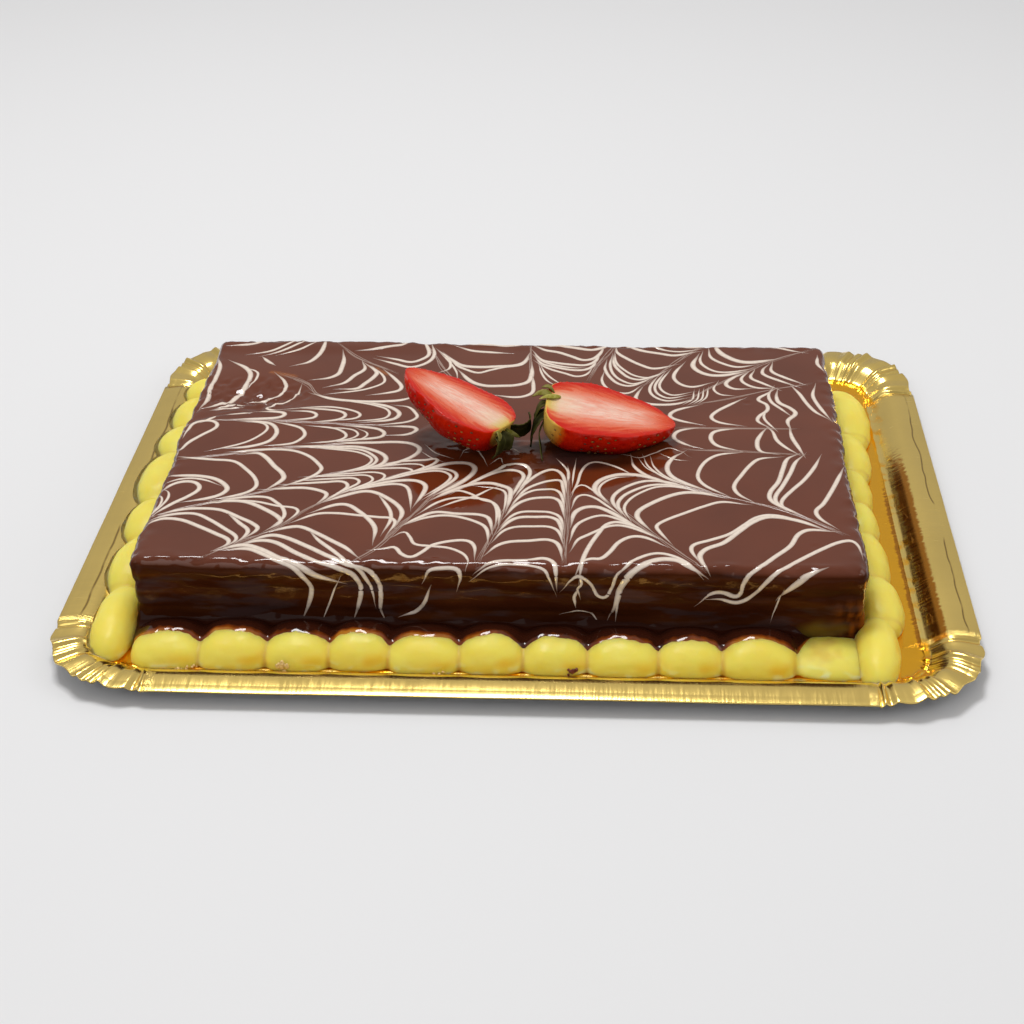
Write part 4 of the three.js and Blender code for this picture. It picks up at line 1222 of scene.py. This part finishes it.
    (1.2, (26, -76), (26.4, -78.6), (25.2, -80.4), (25.6, -82)),
    (1.5, (24.8, -82), (24.2, -83.6), (24.4, -85)),
    (2.6, (62.5, -75), (58, -70.6), (54, -67.8), (49, -68), (44, -71.4), (40.6, -75.4),
     (38, -80.4), (36.6, -86), (35, -90)),
    (1.1, (38, -80), (37.2, -85), (36.8, -90.5)),
    (0.9, (22, -89.5), (25.4, -88.4), (29, -89.4), (31.4, -92.4)),
    [0.7, (-14.3, -7.4), (-13.2, -4.1), (-9.9, -4.6), (-7.6, -8.5), (-6.1, -12.4)],
    [0.5, (-27.0, -6.4), (-24.0, -9.6), (-21.2, -11.4)],
    [0.6, (-26.0, -2.4), (-23.0, -6.3), (-18.8, -8.8)],
    [0.6, (40.2, -6.7), (44.1, -7.9), (49.4, -4.5), (53.4, -1.7), (56.6, -3.0), (59.2, -5.5)],
    [0.5, (44.1, -9.2), (46.0, -13.6), (49.2, -17.3)],
    [0.5, (52.0, -6.4), (54.6, -8.2), (57.8, -8.8)],
    [0.5, (0.4, -4.4), (2.3, -3.7), (3.7, -4.9)],
    [0.45, (-3.2, -11.6), (-1.6, -9.7), (-0.8, -12.2)],
]


def unfolded(x, y):
    """A point and its outward direction for a place on the cake's skin laid flat."""
    low, high = mm_box("cake")
    middle = (low.x + high.x) / 2
    radius = bpy.context.scene.cake_glaze.edge / MM
    flat = CAKE_HALF_Y - radius
    over = abs(y) - flat
    facing = math.copysign(1, y)
    if over <= 0:
        return Vector((x + middle, y, high.z)), Vector((0, 0, 1))
    bend = min(over / radius, math.pi / 2)
    out = Vector((0, facing * math.sin(bend), math.cos(bend)))
    point = Vector((x + middle, facing * (flat + radius * math.sin(bend)),
                    high.z - radius + radius * math.cos(bend)))
    point.z -= max(over - radius * math.pi / 2, 0)
    return point, out


def drape(tree, x, y, lift):
    """A place on the finished glaze, lifted off it by a little."""
    point, out = unfolded(x, y)
    hit = tree.ray_cast((point + out * 4) * MM, -out, 8 * MM)[0]
    base = point if hit is None else hit / MM
    return base + out * lift


def lay_stroke(bm, tree, width, waypoints, layers, lift, height, tail=2.5):
    """Lays one stroke of icing that thins out at both ends, a tail longer than its points."""
    knots = [Vector(point) for point in waypoints]
    knots.insert(0, knots[0] + (knots[0] - knots[1]).normalized() * tail)
    knots.append(knots[-1] + (knots[-1] - knots[-2]).normalized() * tail)
    path = smooth_path(knots, 0.8)
    count = len(path) - 1
    pale, side = layers
    made = bmesh.ops.create_grid(bm, x_segments=count, y_segments=4, size=1.0)["verts"]
    for vert in made:
        along = (vert.co.x + 1) / 2
        across = vert.co.y
        at, ahead = path_at(path, along)
        normal = Vector((-ahead.y, ahead.x)).normalized()
        swell = smoothstep(0.0, min(0.42, 11 / (0.8 * count)), min(along, 1 - along))
        tip = math.sqrt(max(1 - abs(2 * along - 1) ** 12, 0))
        wide = width * (0.16 + 0.84 * swell) * tip / 2
        wide *= blend(0.72, 0.9, smoothstep(-80, -74, at.y))
        spot = at + normal * (across * wide)
        spot += Vector((-0.5, -1.0 * smoothstep(-76, -70, spot.y)))
        spot.x = min(max(spot.x, -WEB_REACH), WEB_REACH)
        bulge = height * (1 - across * across) * min(wide, 1)
        vert.co = drape(tree, spot.x, spot.y, lift + bulge - 0.05 * across ** 4)
        vert[pale] = swell if width > HAIR_WIDTH else 0.0
        vert[side] = abs(across)


def icing():
    sizes = bpy.context.scene.cake_glaze
    material, tree, shader = new_material("icing", sizes.icing, Roughness=0.14, IOR=1.5)
    where = place(tree)
    pale = attribute(tree, "pale")
    side = attribute(tree, "side")
    streak = cloudy(tree, where, 900, 3)
    share = math_node(tree, "MULTIPLY", ramp(tree, pale, 0.0, 0.75, 0.15, 1.0),
                      ramp(tree, side, 0.45, 1.0, 1.0, 0.3))
    share = math_node(tree, "MULTIPLY", share, ramp(tree, streak, 0.3, 0.6, 0.86, 1.0))
    paint(tree, shader, "Base Color", mixed(tree, share, THIN_ICING, sizes.icing))
    bumped(tree, shader, (cloudy(tree, where, 600, 2), 0.06, 0.05))
    return material


# Where a pick was drawn through the wet icing, from the middle outwards.
DRAGS = [
    [(21, -16), (21.6, -34), (21.4, -52), (21, -72)],
    [(8, -19), (4, -30), (1.4, -42), (-1, -54), (-5, -72)],
    [(-12, -22), (-20, -31), (-26, -42), (-31, -52), (-36, -63), (-43, -72)],
    [(-30, -18), (-42, -26), (-51, -33), (-60, -42), (-69, -54), (-80, -63), (-88, -71)],
    [(-34, -15), (-50, -18.5), (-62, -23), (-75, -31), (-90, -38), (-103, -44), (-110, -51)],
    [(-45, 1), (-60, -1.6), (-75, -4), (-90, -8), (-108, -12)],
    [(-40, 12.4), (-56, 12.8), (-72, 14), (-90, 14.6), (-104, 14)],
    [(-58, 29), (-68, 34), (-73, 42), (-84, 49)],
    [(-42, 50), (-50, 56), (-58, 62), (-66, 72)],
    [(-20, 44), (-26, 54), (-31, 66), (-36, 75)],
    [(6.6, 42), (5.6, 56), (4.6, 76)],
    [(26, 46), (29, 58), (33, 68), (36, 76)],
    [(44, 40), (50, 50), (57, 60), (65, 71), (70, 76)],
    [(60, 32), (70, 42), (82, 54), (94, 64), (106, 71)],
    [(62, 29), (76, 34), (90, 40.6), (104, 45.6)],
    [(56, 12.6), (74, 13), (96, 12.8)],
    [(58, -2), (74, -2.6), (98, -4.4)],
    [(46, -18), (58, -25), (72, -31.5), (90, -40), (106, -52)],
    [(34, -34), (44, -48), (54, -62), (64, -74)],
]


class CAKE_OT_web(bpy.types.Operator):
    """Pipes the icing web and draws it into feathers"""
    bl_idname = "cake.web"
    bl_label = "Icing web"

    def execute(self, context):
        tree = surface_of("glaze")
        height = context.scene.cake_glaze.icing_height / MM
        bm = bmesh.new()
        layers = float_layers(bm, "pale", "side")
        for k, (width, *points) in enumerate(WEB):
            lay_stroke(bm, tree, width, points, layers, 0.05 + 0.012 * (k % 3), height)
        rng = random.Random(8)
        for drag in DRAGS:
            for _ in range(5):
                points = [(x + rng.uniform(-0.9, 0.9), y + rng.uniform(-0.7, 0.7)) for x, y in drag]
                lay_stroke(bm, tree, rng.uniform(0.22, HAIR_WIDTH), points, layers, 0.04, 0.02, 1.0)
        finished("icing_web", bm, icing(), "custard")
        return {"FINISHED"}


# ---- strawberries ----------------------------------------------------------------------

BERRY_LENGTH, BERRY_HALF, STEM_POWER, TIP_POWER = 44.0, 15.5, 0.28, 0.64
BERRY_BOXY = 2.7          # exponent of a half's section, which is a little squarer than round

# From the middle of the cake's top: the stem end, then yaw, pitch and roll in degrees, how
# thick the half is, how much of the full size it has, how far its pale stem end goes and how
# much painted shade its underside gets.
Berry = namedtuple("Berry", "stem yaw pitch roll thickness size pale_end shade")
BERRIES = {
    "left": Berry((1.3, -9.2, 11.0), 150.6, 16.1, 9.8, 12.5, 0.91, 0.02, 0.6),
    "right": Berry((12.4, 2.9, 15.0), -0.3, -10.9, 4.3, 13.0, 0.985, 0.22, 0.45),
}

PALE_FIBRE, RED_FIBRE = (0.87, 0.56, 0.44), (0.80, 0.20, 0.12)
WHITE_CORE, STEM_FLESH, STEM_CUT = (0.90, 0.68, 0.56), (0.80, 0.62, 0.42), (0.66, 0.46, 0.10)
RED_RING, CUT_EDGE = (0.72, 0.115, 0.045), (0.58, 0.014, 0.005)
BRIGHT_SKIN, SHADED_SKIN = (0.70, 0.022, 0.002), (0.16, 0.002, 0.001)
ORANGE_SHOULDER, PALE_SHOULDER = (0.72, 0.20, 0.012), (0.78, 0.52, 0.10)
RED_SHINE = (1.0, 0.40, 0.28)
DARK_SEED, GOLD_SEED = (0.05, 0.012, 0.004), (0.40, 0.17, 0.02)


def berry_radius(share):
    """Half the width of the cut face at a share of its length."""
    peak = STEM_POWER / (STEM_POWER + TIP_POWER)
    shape = lambda t: t ** STEM_POWER * (1 - t) ** TIP_POWER
    return BERRY_HALF * shape(min(max(share, 0.0), 1.0)) / shape(peak)


def berry_frame(side):
    """Where a half lies, with x to its tip and z out of its cut face."""
    berry = BERRIES[side]
    low, high = mm_box("cake")
    origin = Vector(((low.x + high.x) / 2, 0, CAKE_TOP)) + Vector(berry.stem)
    turn = (Matrix.Rotation(math.radians(berry.yaw), 4, "Z")
            @ Matrix.Rotation(math.radians(-berry.pitch), 4, "Y")
            @ Matrix.Rotation(math.radians(berry.roll), 4, "X"))
    shrink = Matrix.Translation((BERRY_LENGTH * (1 - berry.size) * 0.45, 0, 0))
    return Matrix.Translation(origin) @ turn @ shrink @ Matrix.Scale(berry.size, 4)


def strawberry_flesh():
    sizes = bpy.context.scene.cake_berry
    material, tree, shader = new_material(
        "strawberry", sizes.skin, Roughness=0.18, IOR=1.33, Subsurface_Weight=0.10,
        Subsurface_Scale=0.002, Subsurface_Radius=(1.0, 0.35, 0.25))
    where = place(tree)
    axial, rim, cut = (attribute(tree, name) for name in ("axial", "rim", "cut"))
    local = attribute(tree, "grain", "Vector")
    fibres = cloudy(tree, local, 1.0, 4, (2.2, 17, 1))
    fine = cloudy(tree, local, 1.0, 3, (6, 46, 1))
    red_edge = math_node(tree, "ADD", rim, ramp(tree, fibres, 0.3, 0.7, -0.12, 0.12))
    flesh = coated(tree, mixed(tree, ramp(tree, fibres, 0.40, 0.66), sizes.flesh, PALE_FIBRE),
                   (ramp(tree, rim, 0.42, 0.10, 0.0, 0.45), WHITE_CORE),
                   (ramp(tree, fine, 0.54, 0.7, 0, 0.35), RED_FIBRE),
                   (ramp(tree, axial, 0.30, 0.03, 0.0, 0.8), STEM_FLESH),
                   (ramp(tree, axial, 0.11, 0.02), STEM_CUT),
                   (ramp(tree, red_edge, 0.30, 0.66), RED_RING),
                   (ramp(tree, red_edge, 0.58, 0.90), CUT_EDGE))
    blush = cloudy(tree, where, 130)
    shoulder = math_node(tree, "ADD", attribute(tree, "stem_end"),
                         ramp(tree, blush, 0.3, 0.7, -0.18, 0.18))
    skin = coated(tree, mixed(tree, ramp(tree, blush, 0.35, 0.7), sizes.skin, BRIGHT_SKIN),
                  (ramp(tree, shoulder, 0.15, 0.5), ORANGE_SHOULDER),
                  (ramp(tree, shoulder, 0.4, 0.85), PALE_SHOULDER),
                  (attribute(tree, "shade"), SHADED_SKIN))
    paint(tree, shader, "Base Color", mixed(tree, cut, skin, flesh))
    wet = math_node(tree, "MULTIPLY", attribute(tree, "wet"), ramp(tree, cut, 0.2, 1, 1, 0))
    level = math_node(tree, "ADD", ramp(tree, cut, 0.0, 1.0, 0.11, 0.4), wet)
    paint(tree, shader, "Specular IOR Level", level)
    paint(tree, shader, "Specular Tint", mixed(tree, math_node(tree, "MAXIMUM", cut, wet),
                                               RED_SHINE, WHITE))
    matt = ramp(tree, cloudy(tree, where, 300, 3), 0.35, 0.7, 0.13, 0.34)
    paint(tree, shader, "Roughness", math_node(tree, "SUBTRACT", matt, ramp(tree, wet, 0, 1,
                                                                            0, 0.09)))
    bumped(tree, shader, (fibres, 0.2, 0.5), (cloudy(tree, where, 800, 2), 0.15, 0.12))
    return material


def seed_places(side):
    """Seeds on a half berry's skin: share along it, angle round its back."""
    rng = random.Random(side)
    rows = 15
    for row in range(rows):
        share = 0.05 + 0.9 * (row + 0.5) / rows
        around = max(int(berry_radius(share) * math.pi / 3.1), 2)
        for k in range(around):
            angle = math.pi * (k + 0.5 * (row % 2) + 0.25 + rng.uniform(-0.15, 0.15)) / around
            if 0.04 < angle / math.pi < 0.96:
                yield share + rng.uniform(-0.012, 0.012), angle


def skin_point(share, angle, thickness):
    """A place on the skin; angle goes from one cut edge under the berry to the other."""
    radius = berry_radius(share)
    deep = thickness * (radius / BERRY_HALF) ** 0.62
    c, s = math.cos(angle), math.sin(angle)
    reach = boxy_reach(c, s, BERRY_BOXY)
    return Vector((share * BERRY_LENGTH, radius * c * reach, -deep * s * reach))


def shape_berry(side):
    """A half berry with a pit round each seed, set into the glaze."""
    sizes = bpy.context.scene.cake_berry
    berry = BERRIES[side]
    bm = bmesh.new()
    bmesh.ops.create_uvsphere(bm, u_segments=96, v_segments=80, radius=1.0,
                              matrix=Matrix.Rotation(math.pi / 2, 4, "Y"))
    for vert in bm.verts:
        share = (1 + vert.co.x) / 2
        _, c, s = heading(vert.co.y, vert.co.z)
        wobble = 1 + 0.03 * math.sin(15 * share + 2 * c)
        vert.co = skin_point(share, math.atan2(-s, c), berry.thickness)
        vert.co.yz *= wobble
    geom = bm.verts[:] + bm.edges[:] + bm.faces[:]
    bmesh.ops.bisect_plane(bm, geom=geom, plane_co=(0, 0, 0), plane_no=(0, 0, 1),
                           clear_outer=True)
    bmesh.ops.edgeloop_fill(bm, edges=boundary(bm))
    bmesh.ops.recalc_face_normals(bm, faces=bm.faces)
    bm = remeshed(bm, sizes.grain / MM, 1)
    bm.normal_update()
    axial, rim_at, cut, shade, stem_end, wet = float_layers(
        bm, "axial", "rim", "cut", "shade", "stem_end", "wet")
    grain = bm.verts.layers.float_vector.new("grain")
    seeds = [skin_point(*seed, berry.thickness) for seed in seed_places(side)]
    near = KDTree(len(seeds))
    for i, seed in enumerate(seeds):
        near.insert(seed, i)
    near.balance()
    frame_at = berry_frame(side)
    for vert in bm.verts:
        p = vert.co.copy()
        share = p.x / BERRY_LENGTH
        radius = max(berry_radius(share), 0.1)
        vert[axial] = share
        vert[stem_end] = smoothstep(berry.pale_end, 0.1 * berry.pale_end, share)
        vert[rim_at] = min(abs(p.y) / radius, 1.2)
        vert[rim_at] = max(vert[rim_at], 0.3 + 1.9 * (share - 0.72))
        vert[cut] = smoothstep(0.55, 0.9, vert.normal.z) * smoothstep(-0.8, -0.2, p.z)
        spread = p.y / radius
        vert[grain] = Vector((share * 3, spread * (0.4 + share) - 0.25 * share * spread, 0))
        if vert[cut] < 0.5:
            _, _, gap = near.find(p)
            p -= vert.normal * (0.38 * math.exp(-(gap / 0.85) ** 2) - 0.10)
            p += vert.normal * 0.15 * noise.noise(p / 3)
        else:
            p.z += 0.22 * noise_at(p.x / 9, p.y / 1.8, 1) - 0.12
            p.z -= 0.35 * math.exp(-(p.y / 2.0) ** 2) * smoothstep(0.15, 0.4, share)
        vert.co = frame_at @ p
        # painted shade: the skin is darker low down and on its underside
        vert[shade] = 0.5 * smoothstep(30.5, 26.5, vert.co.z)
        vert[shade] += berry.shade * smoothstep(-1.5, -8.0, p.z)
        vert[wet] = smoothstep(-2.0, -0.9, p.z) * smoothstep(0.15, 0.3, share) \
            * smoothstep(0.0, 0.3, noise_at(p.x / 5, p.y, 0.5) + 0.25)
        vert.co.z = max(vert.co.z, CAKE_TOP + 0.05)
    return bm


def seeds_on(side):
    """The seeds, each laid flat on the skin and sunk a little."""
    thickness = BERRIES[side].thickness
    frame_at = berry_frame(side)
    bm = bmesh.new()
    rng = random.Random(side + "seeds")
    for share, angle in seed_places(side):
        point = skin_point(share, angle, thickness)
        ahead = skin_point(share + 0.01, angle, thickness) - point
        beside = skin_point(share, angle + 0.02, thickness) - point
        out = beside.cross(ahead).normalized()
        if out.dot(point - Vector((point.x, 0, 0))) < 0:
            out = -out
        ahead.normalize()
        turn = Matrix((ahead, out.cross(ahead), out)).transposed().to_4x4()
        size = rng.uniform(0.85, 1.15)
        made = bmesh.ops.create_icosphere(bm, subdivisions=1, radius=1.0)["verts"]
        bmesh.ops.scale(bm, vec=(0.62 * size, 0.33 * size, 0.22), verts=made)
        place_at = frame_at @ Matrix.Translation(point - out * 0.16) @ turn
        bmesh.ops.transform(bm, matrix=place_at, verts=made)
    buried = [v for v in bm.verts if v.co.z < CAKE_TOP - 0.1]
    bmesh.ops.delete(bm, geom=buried, context="VERTS")
    return bm


class CAKE_OT_strawberries(bpy.types.Operator):
    """Cuts the two strawberry halves and sets their seeds"""
    bl_idname = "cake.strawberries"
    bl_label = "Strawberry halves"

    def execute(self, context):
        flesh = strawberry_flesh()
        seed, tree, shader = new_material("seed", (0.24, 0.10, 0.02), Roughness=0.35)
        tint = cloudy(tree, place(tree), 500, 2)
        paint(tree, shader, "Base Color", mixed(tree, ramp(tree, tint, 0.4, 0.6),
              DARK_SEED, GOLD_SEED))
        for side in BERRIES:
            finished(f"berry_{side}", shape_berry(side), flesh, "strawberry",
                     [f"strawberry_{side}"])
            finished(f"seeds_{side}", seeds_on(side), seed, "strawberry")
        return {"FINISHED"}


# ---- leaves ----------------------------------------------------------------------------

# Each leaf in its berry's frame, with x to the tip, y across the cut face and z up from it:
# its middle line from stem to point, its widest, its lean in degrees and its tint.
LEAVES = {
    "left": [
        (((0.3, -5, -2), (-3.0, -8.5, -2.4), (-3.6, -11.5, -0.4), (-1.0, -14, 1.6)), 8.0, 55, 0.05),
        (((0.3, 2, -2), (-3.4, 4.3, -2.8), (-4.4, 7, -6.2), (-2.2, 6.5, -10.8)), 7.5, -20, 0.04),
        (((0.2, -1.0, -1.6), (-2.6, -2.0, -2.2), (-5.2, -4.0, -3.4)), 2.4, 0, 0.25),
        (((0.4, 5.5, -0.6), (-1.6, 6.0, -1.0), (-3.0, 7.4, -3.2)), 2.6, 10, 0.5),
    ],
    "right": [
        (((2.5, 3, -0.3), (-0.5, 4.0, 0.5), (-2.8, 4.8, -0.6), (-4.8, 5.0, -2.8)), 2.8, 10, 0.55),
        (((2.5, 6, -0.3), (0.8, 7.4, 0.7), (-0.8, 8.6, 0.2), (-2.0, 9.4, -1.2)), 2.4, -10, 0.45),
        (((4.5, 3.4, 0.3), (2.2, 2.2, 0.7), (-0.5, 1.6, 0.4), (-2.4, 1.2, -0.8)), 2.2, 4, 0.9),
        (((0.8, 1.5, -1.0), (-1.9, 1.0, -2.8), (-2.8, -0.8, -6.0), (-2.6, -3, -9)), 4.8, 0, 0.12),
        (((0.5, -1, -3), (-2.0, -3.2, -5.2), (-3.0, -5.8, -9.5), (-2.6, -8.4, -14.0)), 7.5, 10,
         0.02),
        (((0.5, -4, -4), (-0.6, -8, -8.0), (0.6, -12, -11), (1.8, -17, -12.8)), 1.8, 0, 0.06),
    ],
}


LIME = ((0.30, 0.27, 0.04), (0.56, 0.50, 0.16))
VEIN = (0.16, 0.17, 0.04)


def leaf_skin():
    sizes = bpy.context.scene.cake_berry
    material, tree, shader = new_material("leaf", sizes.leaf, Roughness=0.5, IOR=1.2,
                                          Specular_IOR_Level=0.08)
    where = place(tree)
    tint, vein = attribute(tree, "tint"), attribute(tree, "vein")
    green = mixed(tree, ramp(tree, cloudy(tree, where, 350, 3), 0.35, 0.65),
                  scaled(sizes.leaf, 0.5), sizes.leaf)
    lime = mixed(tree, ramp(tree, cloudy(tree, where, 420, 3), 0.4, 0.65), *LIME)
    paint(tree, shader, "Base Color",
          coated(tree, green, (tint, lime), (ramp(tree, vein, 0.8, 1.0, 0, 0.25), VEIN)))
    bumped(tree, shader, (cloudy(tree, where, 900, 3), 0.3, 0.12))
    return material


def shape_leaves(side):
    """Each leaf is a sheet along its middle line, with toothed edges and a curl."""
    frame_at = berry_frame(side)
    bm = bmesh.new()
    tint_at, vein = float_layers(bm, "tint", "vein")
    for middle, width, lean, tint in LEAVES[side]:
        path = smooth_path(middle, 0.7)
        made = bmesh.ops.create_grid(bm, x_segments=len(path) - 1, y_segments=8,
                                     size=1.0)["verts"]
        tilt = math.radians(lean)
        for vert in made:
            along, across = (vert.co.x + 1) / 2, vert.co.y
            at, ahead = path_at(path, along)
            ahead = ahead.normalized()
            beside = Vector((0, math.cos(tilt), math.sin(tilt)))
            beside = (beside - ahead * beside.dot(ahead)).normalized()
            up = ahead.cross(beside)
            wide = width / 2 * (math.sin(math.pi * (0.12 + 0.88 * along)) ** 0.75)
            teeth = 1 + 0.08 * math.sin(along * 34)
            curl = 0.35 * across * across + 0.10 * math.sin(9 * along + 3 * across)
            vert[tint_at] = min(tint + 0.25 * max(abs(across) - 0.6, 0), 1)
            vert[vein] = 1 - min(abs(across) * 4, 1)
            vert.co = at + beside * (across * wide * teeth) + up * curl * width / 5
    bmesh.ops.transform(bm, matrix=frame_at, verts=bm.verts)
    for vert in bm.verts:
        vert.co.z = max(vert.co.z, CAKE_TOP + 0.1 + 0.15 * (1 + noise.noise(vert.co / 2)))
    bmesh.ops.recalc_face_normals(bm, faces=bm.faces)
    return bm


class CAKE_OT_leaves(bpy.types.Operator):
    """Curls the leaves at the stem ends of the strawberries"""
    bl_idname = "cake.leaves"
    bl_label = "Strawberry leaves"

    def execute(self, context):
        material = leaf_skin()
        for side in LEAVES:
            piece = finished(f"leaf_{side}", shape_leaves(side), material, "leaf",
                             [f"leaves_{side}"])
            walled(piece, 0.3 * MM, 0)
        return {"FINISHED"}


# ---- crumbs ----------------------------------------------------------------------------

# Loose bits on the front row: their middle's x and z, how far they scatter along and up,
# how many, and their size.
CRUMBS = {
    "pale": [((-67.5, 3.0), (2.4, 1.6), 16, 0.7), ((-96.0, 1.9), (5.0, 0.6), 10, 0.55),
             ((-22.0, 1.8), (3.0, 0.5), 6, 0.5)],
    "dark": [((17.8, 2.9), (1.7, 1.1), 8, 0.6)],
}
CRUMB_TONES = {"pale": ((0.86, 0.62, 0.26), "custard"),
               "dark": ((0.16, 0.018, 0.008), "chocolate_glaze")}


def shape_crumbs(sort, row):
    """Lumps pressed against the face of the front row."""
    bm = bmesh.new()
    rng = random.Random(sort)
    for middle, spread, count, size in CRUMBS[sort]:
        for _ in range(count):
            x, z = (m + rng.gauss(0, 0.5) * s for m, s in zip(middle, spread))
            z = max(z, 1.0)
            hit = row.ray_cast(Vector((x * MM, -0.11, z * MM)), Vector((0, 1, 0)))[0]
            if hit is None:
                continue
            spot = hit / MM
            radius = size * rng.uniform(0.5, 1.0)
            made = bmesh.ops.create_icosphere(bm, subdivisions=3, radius=radius)["verts"]
            for vert in made:
                lumps = noise.noise(vert.co * 1.9 / radius + spot * 7)
                vert.co = vert.co * (1 + 0.45 * lumps) + spot
                vert.co.z = max(vert.co.z, 0.85)
    return bm


class CAKE_OT_crumbs(bpy.types.Operator):
    """Scatters the few crumbs at the foot of the front row"""
    bl_idname = "cake.crumbs"
    bl_label = "Crumbs"

    def execute(self, context):
        row = surface_of("custard_row_front")
        for sort, (tone, slot) in CRUMB_TONES.items():
            material, tree, shader = new_material(f"{sort} crumb", tone, Roughness=0.5)
            fleck = cloudy(tree, place(tree), 900, 3)
            paint(tree, shader, "Base Color", mixed(tree, fleck, scaled(tone, 0.7), tone))
            finished(f"crumbs_{sort}", shape_crumbs(sort, row), material, slot)
        return {"FINISHED"}


# ---- stage -----------------------------------------------------------------------------

# The camera fitted to the tray and the cake: its place, its angles in radians and its lens.
CAMERA_AT = (0.0293, -0.5181, 0.3236)
CAMERA_PITCH, CAMERA_YAW, CAMERA_ROLL = 0.55844894, -0.06517166, -0.02018413
CAMERA_LENS, SENSOR_WIDTH = 63.28, 36.0


def area_light(name, at, aim, size, power):
    light = bpy.data.lights.new(name, "AREA")
    light.shape = "RECTANGLE"
    light.size, light.size_y = size
    light.energy = power
    lamp = bpy.data.objects.new(name, light)
    lamp.location = at
    lamp.rotation_mode = "QUATERNION"
    lamp.rotation_quaternion = (Vector(aim) - Vector(at)).to_track_quat("-Z", "Y")
    bpy.context.scene.collection.objects.link(lamp)


def studio_air():
    """Pale air, brighter above and behind the cake."""
    world = bpy.data.worlds.new("studio")
    world.use_nodes = True
    tree = world.node_tree
    tree.nodes.clear()
    sky = node(tree, "TexCoord").outputs["Generated"]
    split = node(tree, "SeparateXYZ", Vector=sky)
    up = ramp(tree, split.outputs["Z"], -0.1, 0.9)
    behind = ramp(tree, split.outputs["Y"], -0.6, 0.8)
    glow = math_node(tree, "ADD", math_node(tree, "MULTIPLY", up, 0.22),
                     math_node(tree, "MULTIPLY", behind, 0.20))
    strength = math_node(tree, "ADD", glow, 0.15)
    background = node(tree, "Background", Color=(1.0, 0.985, 0.965, 1), Strength=strength)
    out = node(tree, "OutputWorld")
    tree.links.new(background.outputs[0], out.inputs[0])
    bpy.context.scene.world = world


class CAKE_OT_stage(bpy.types.Operator):
    """Lays the pale floor and sets the soft lights and the camera"""
    bl_idname = "cake.stage"
    bl_label = "Floor, lights and camera"

    def execute(self, context):
        bm = bmesh.new()
        bmesh.ops.create_grid(bm, x_segments=1, y_segments=1, size=3.0)
        mesh = bpy.data.meshes.new("floor")
        bm.to_mesh(mesh)
        bm.free()
        floor = bpy.data.objects.new("floor", mesh)
        context.scene.collection.objects.link(floor)
        pale, _, _ = new_material("pale floor", (0.79, 0.79, 0.80), Roughness=0.6)
        mesh.materials.append(pale)
        studio_air()
        area_light("key", (-0.20, 0.36, 1.2), (0, 0, 0), (0.46, 0.32), 8.8)
        area_light("fill", (-0.5, -1.0, 0.8), (0, 0, 0), (0.9, 0.9), 2.7)
        area_light("side", (0.75, -0.10, 0.50), (0.1, 0, 0.02), (0.5, 0.5), 1.0)
        camera = bpy.data.cameras.new("camera")
        camera.lens = CAMERA_LENS
        camera.sensor_width = SENSOR_WIDTH
        camera.clip_start, camera.clip_end = 0.01, 20
        seen_from = bpy.data.objects.new("camera", camera)
        context.scene.collection.objects.link(seen_from)
        seen_from.location = CAMERA_AT
        ahead = Vector((math.sin(CAMERA_YAW) * math.cos(CAMERA_PITCH),
                        math.cos(CAMERA_YAW) * math.cos(CAMERA_PITCH), -math.sin(CAMERA_PITCH)))
        seen_from.rotation_mode = "QUATERNION"
        seen_from.rotation_quaternion = (ahead.to_track_quat("-Z", "Y")
                                         @ Quaternion((0, 0, 1), CAMERA_ROLL))
        context.scene.camera = seen_from
        context.scene.view_settings.view_transform = "Standard"
        return {"FINISHED"}


# ---- panel and main --------------------------------------------------------------------

OPERATORS = (CAKE_OT_tray, CAKE_OT_glaze, CAKE_OT_custard, CAKE_OT_run_off, CAKE_OT_web,
             CAKE_OT_strawberries, CAKE_OT_leaves, CAKE_OT_crumbs, CAKE_OT_stage)


class CAKE_PT_panel(bpy.types.Panel):
    """The cake's pieces and sizes in the sidebar"""
    bl_label = "Layer cake"
    bl_idname = "CAKE_PT_panel"
    bl_space_type = "VIEW_3D"
    bl_region_type = "UI"
    bl_category = "Cake"

    def draw(self, context):
        for operator in OPERATORS:
            self.layout.operator(operator.bl_idname)
        for key, group in SIZES.items():
            box = self.layout.box()
            for name in group.__annotations__:
                box.prop(getattr(context.scene, key), name)


def register():
    for group in SIZES.values():
        bpy.utils.register_class(group)
    for key, group in SIZES.items():
        setattr(bpy.types.Scene, key, PointerProperty(type=group))
    for operator in OPERATORS:
        bpy.utils.register_class(operator)
    bpy.utils.register_class(CAKE_PT_panel)


def unregister():
    bpy.utils.unregister_class(CAKE_PT_panel)
    for operator in reversed(OPERATORS):
        bpy.utils.unregister_class(operator)
    for key, group in SIZES.items():
        delattr(bpy.types.Scene, key)
        bpy.utils.unregister_class(group)


def main():
    register()
    bpy.ops.cake.tray()
    bpy.ops.cake.glaze()
    bpy.ops.cake.custard()
    bpy.ops.cake.run_off()
    bpy.ops.cake.web()
    bpy.ops.cake.strawberries()
    bpy.ops.cake.leaves()
    bpy.ops.cake.crumbs()
    bpy.ops.cake.stage()


if __name__ == "__main__":
    main()
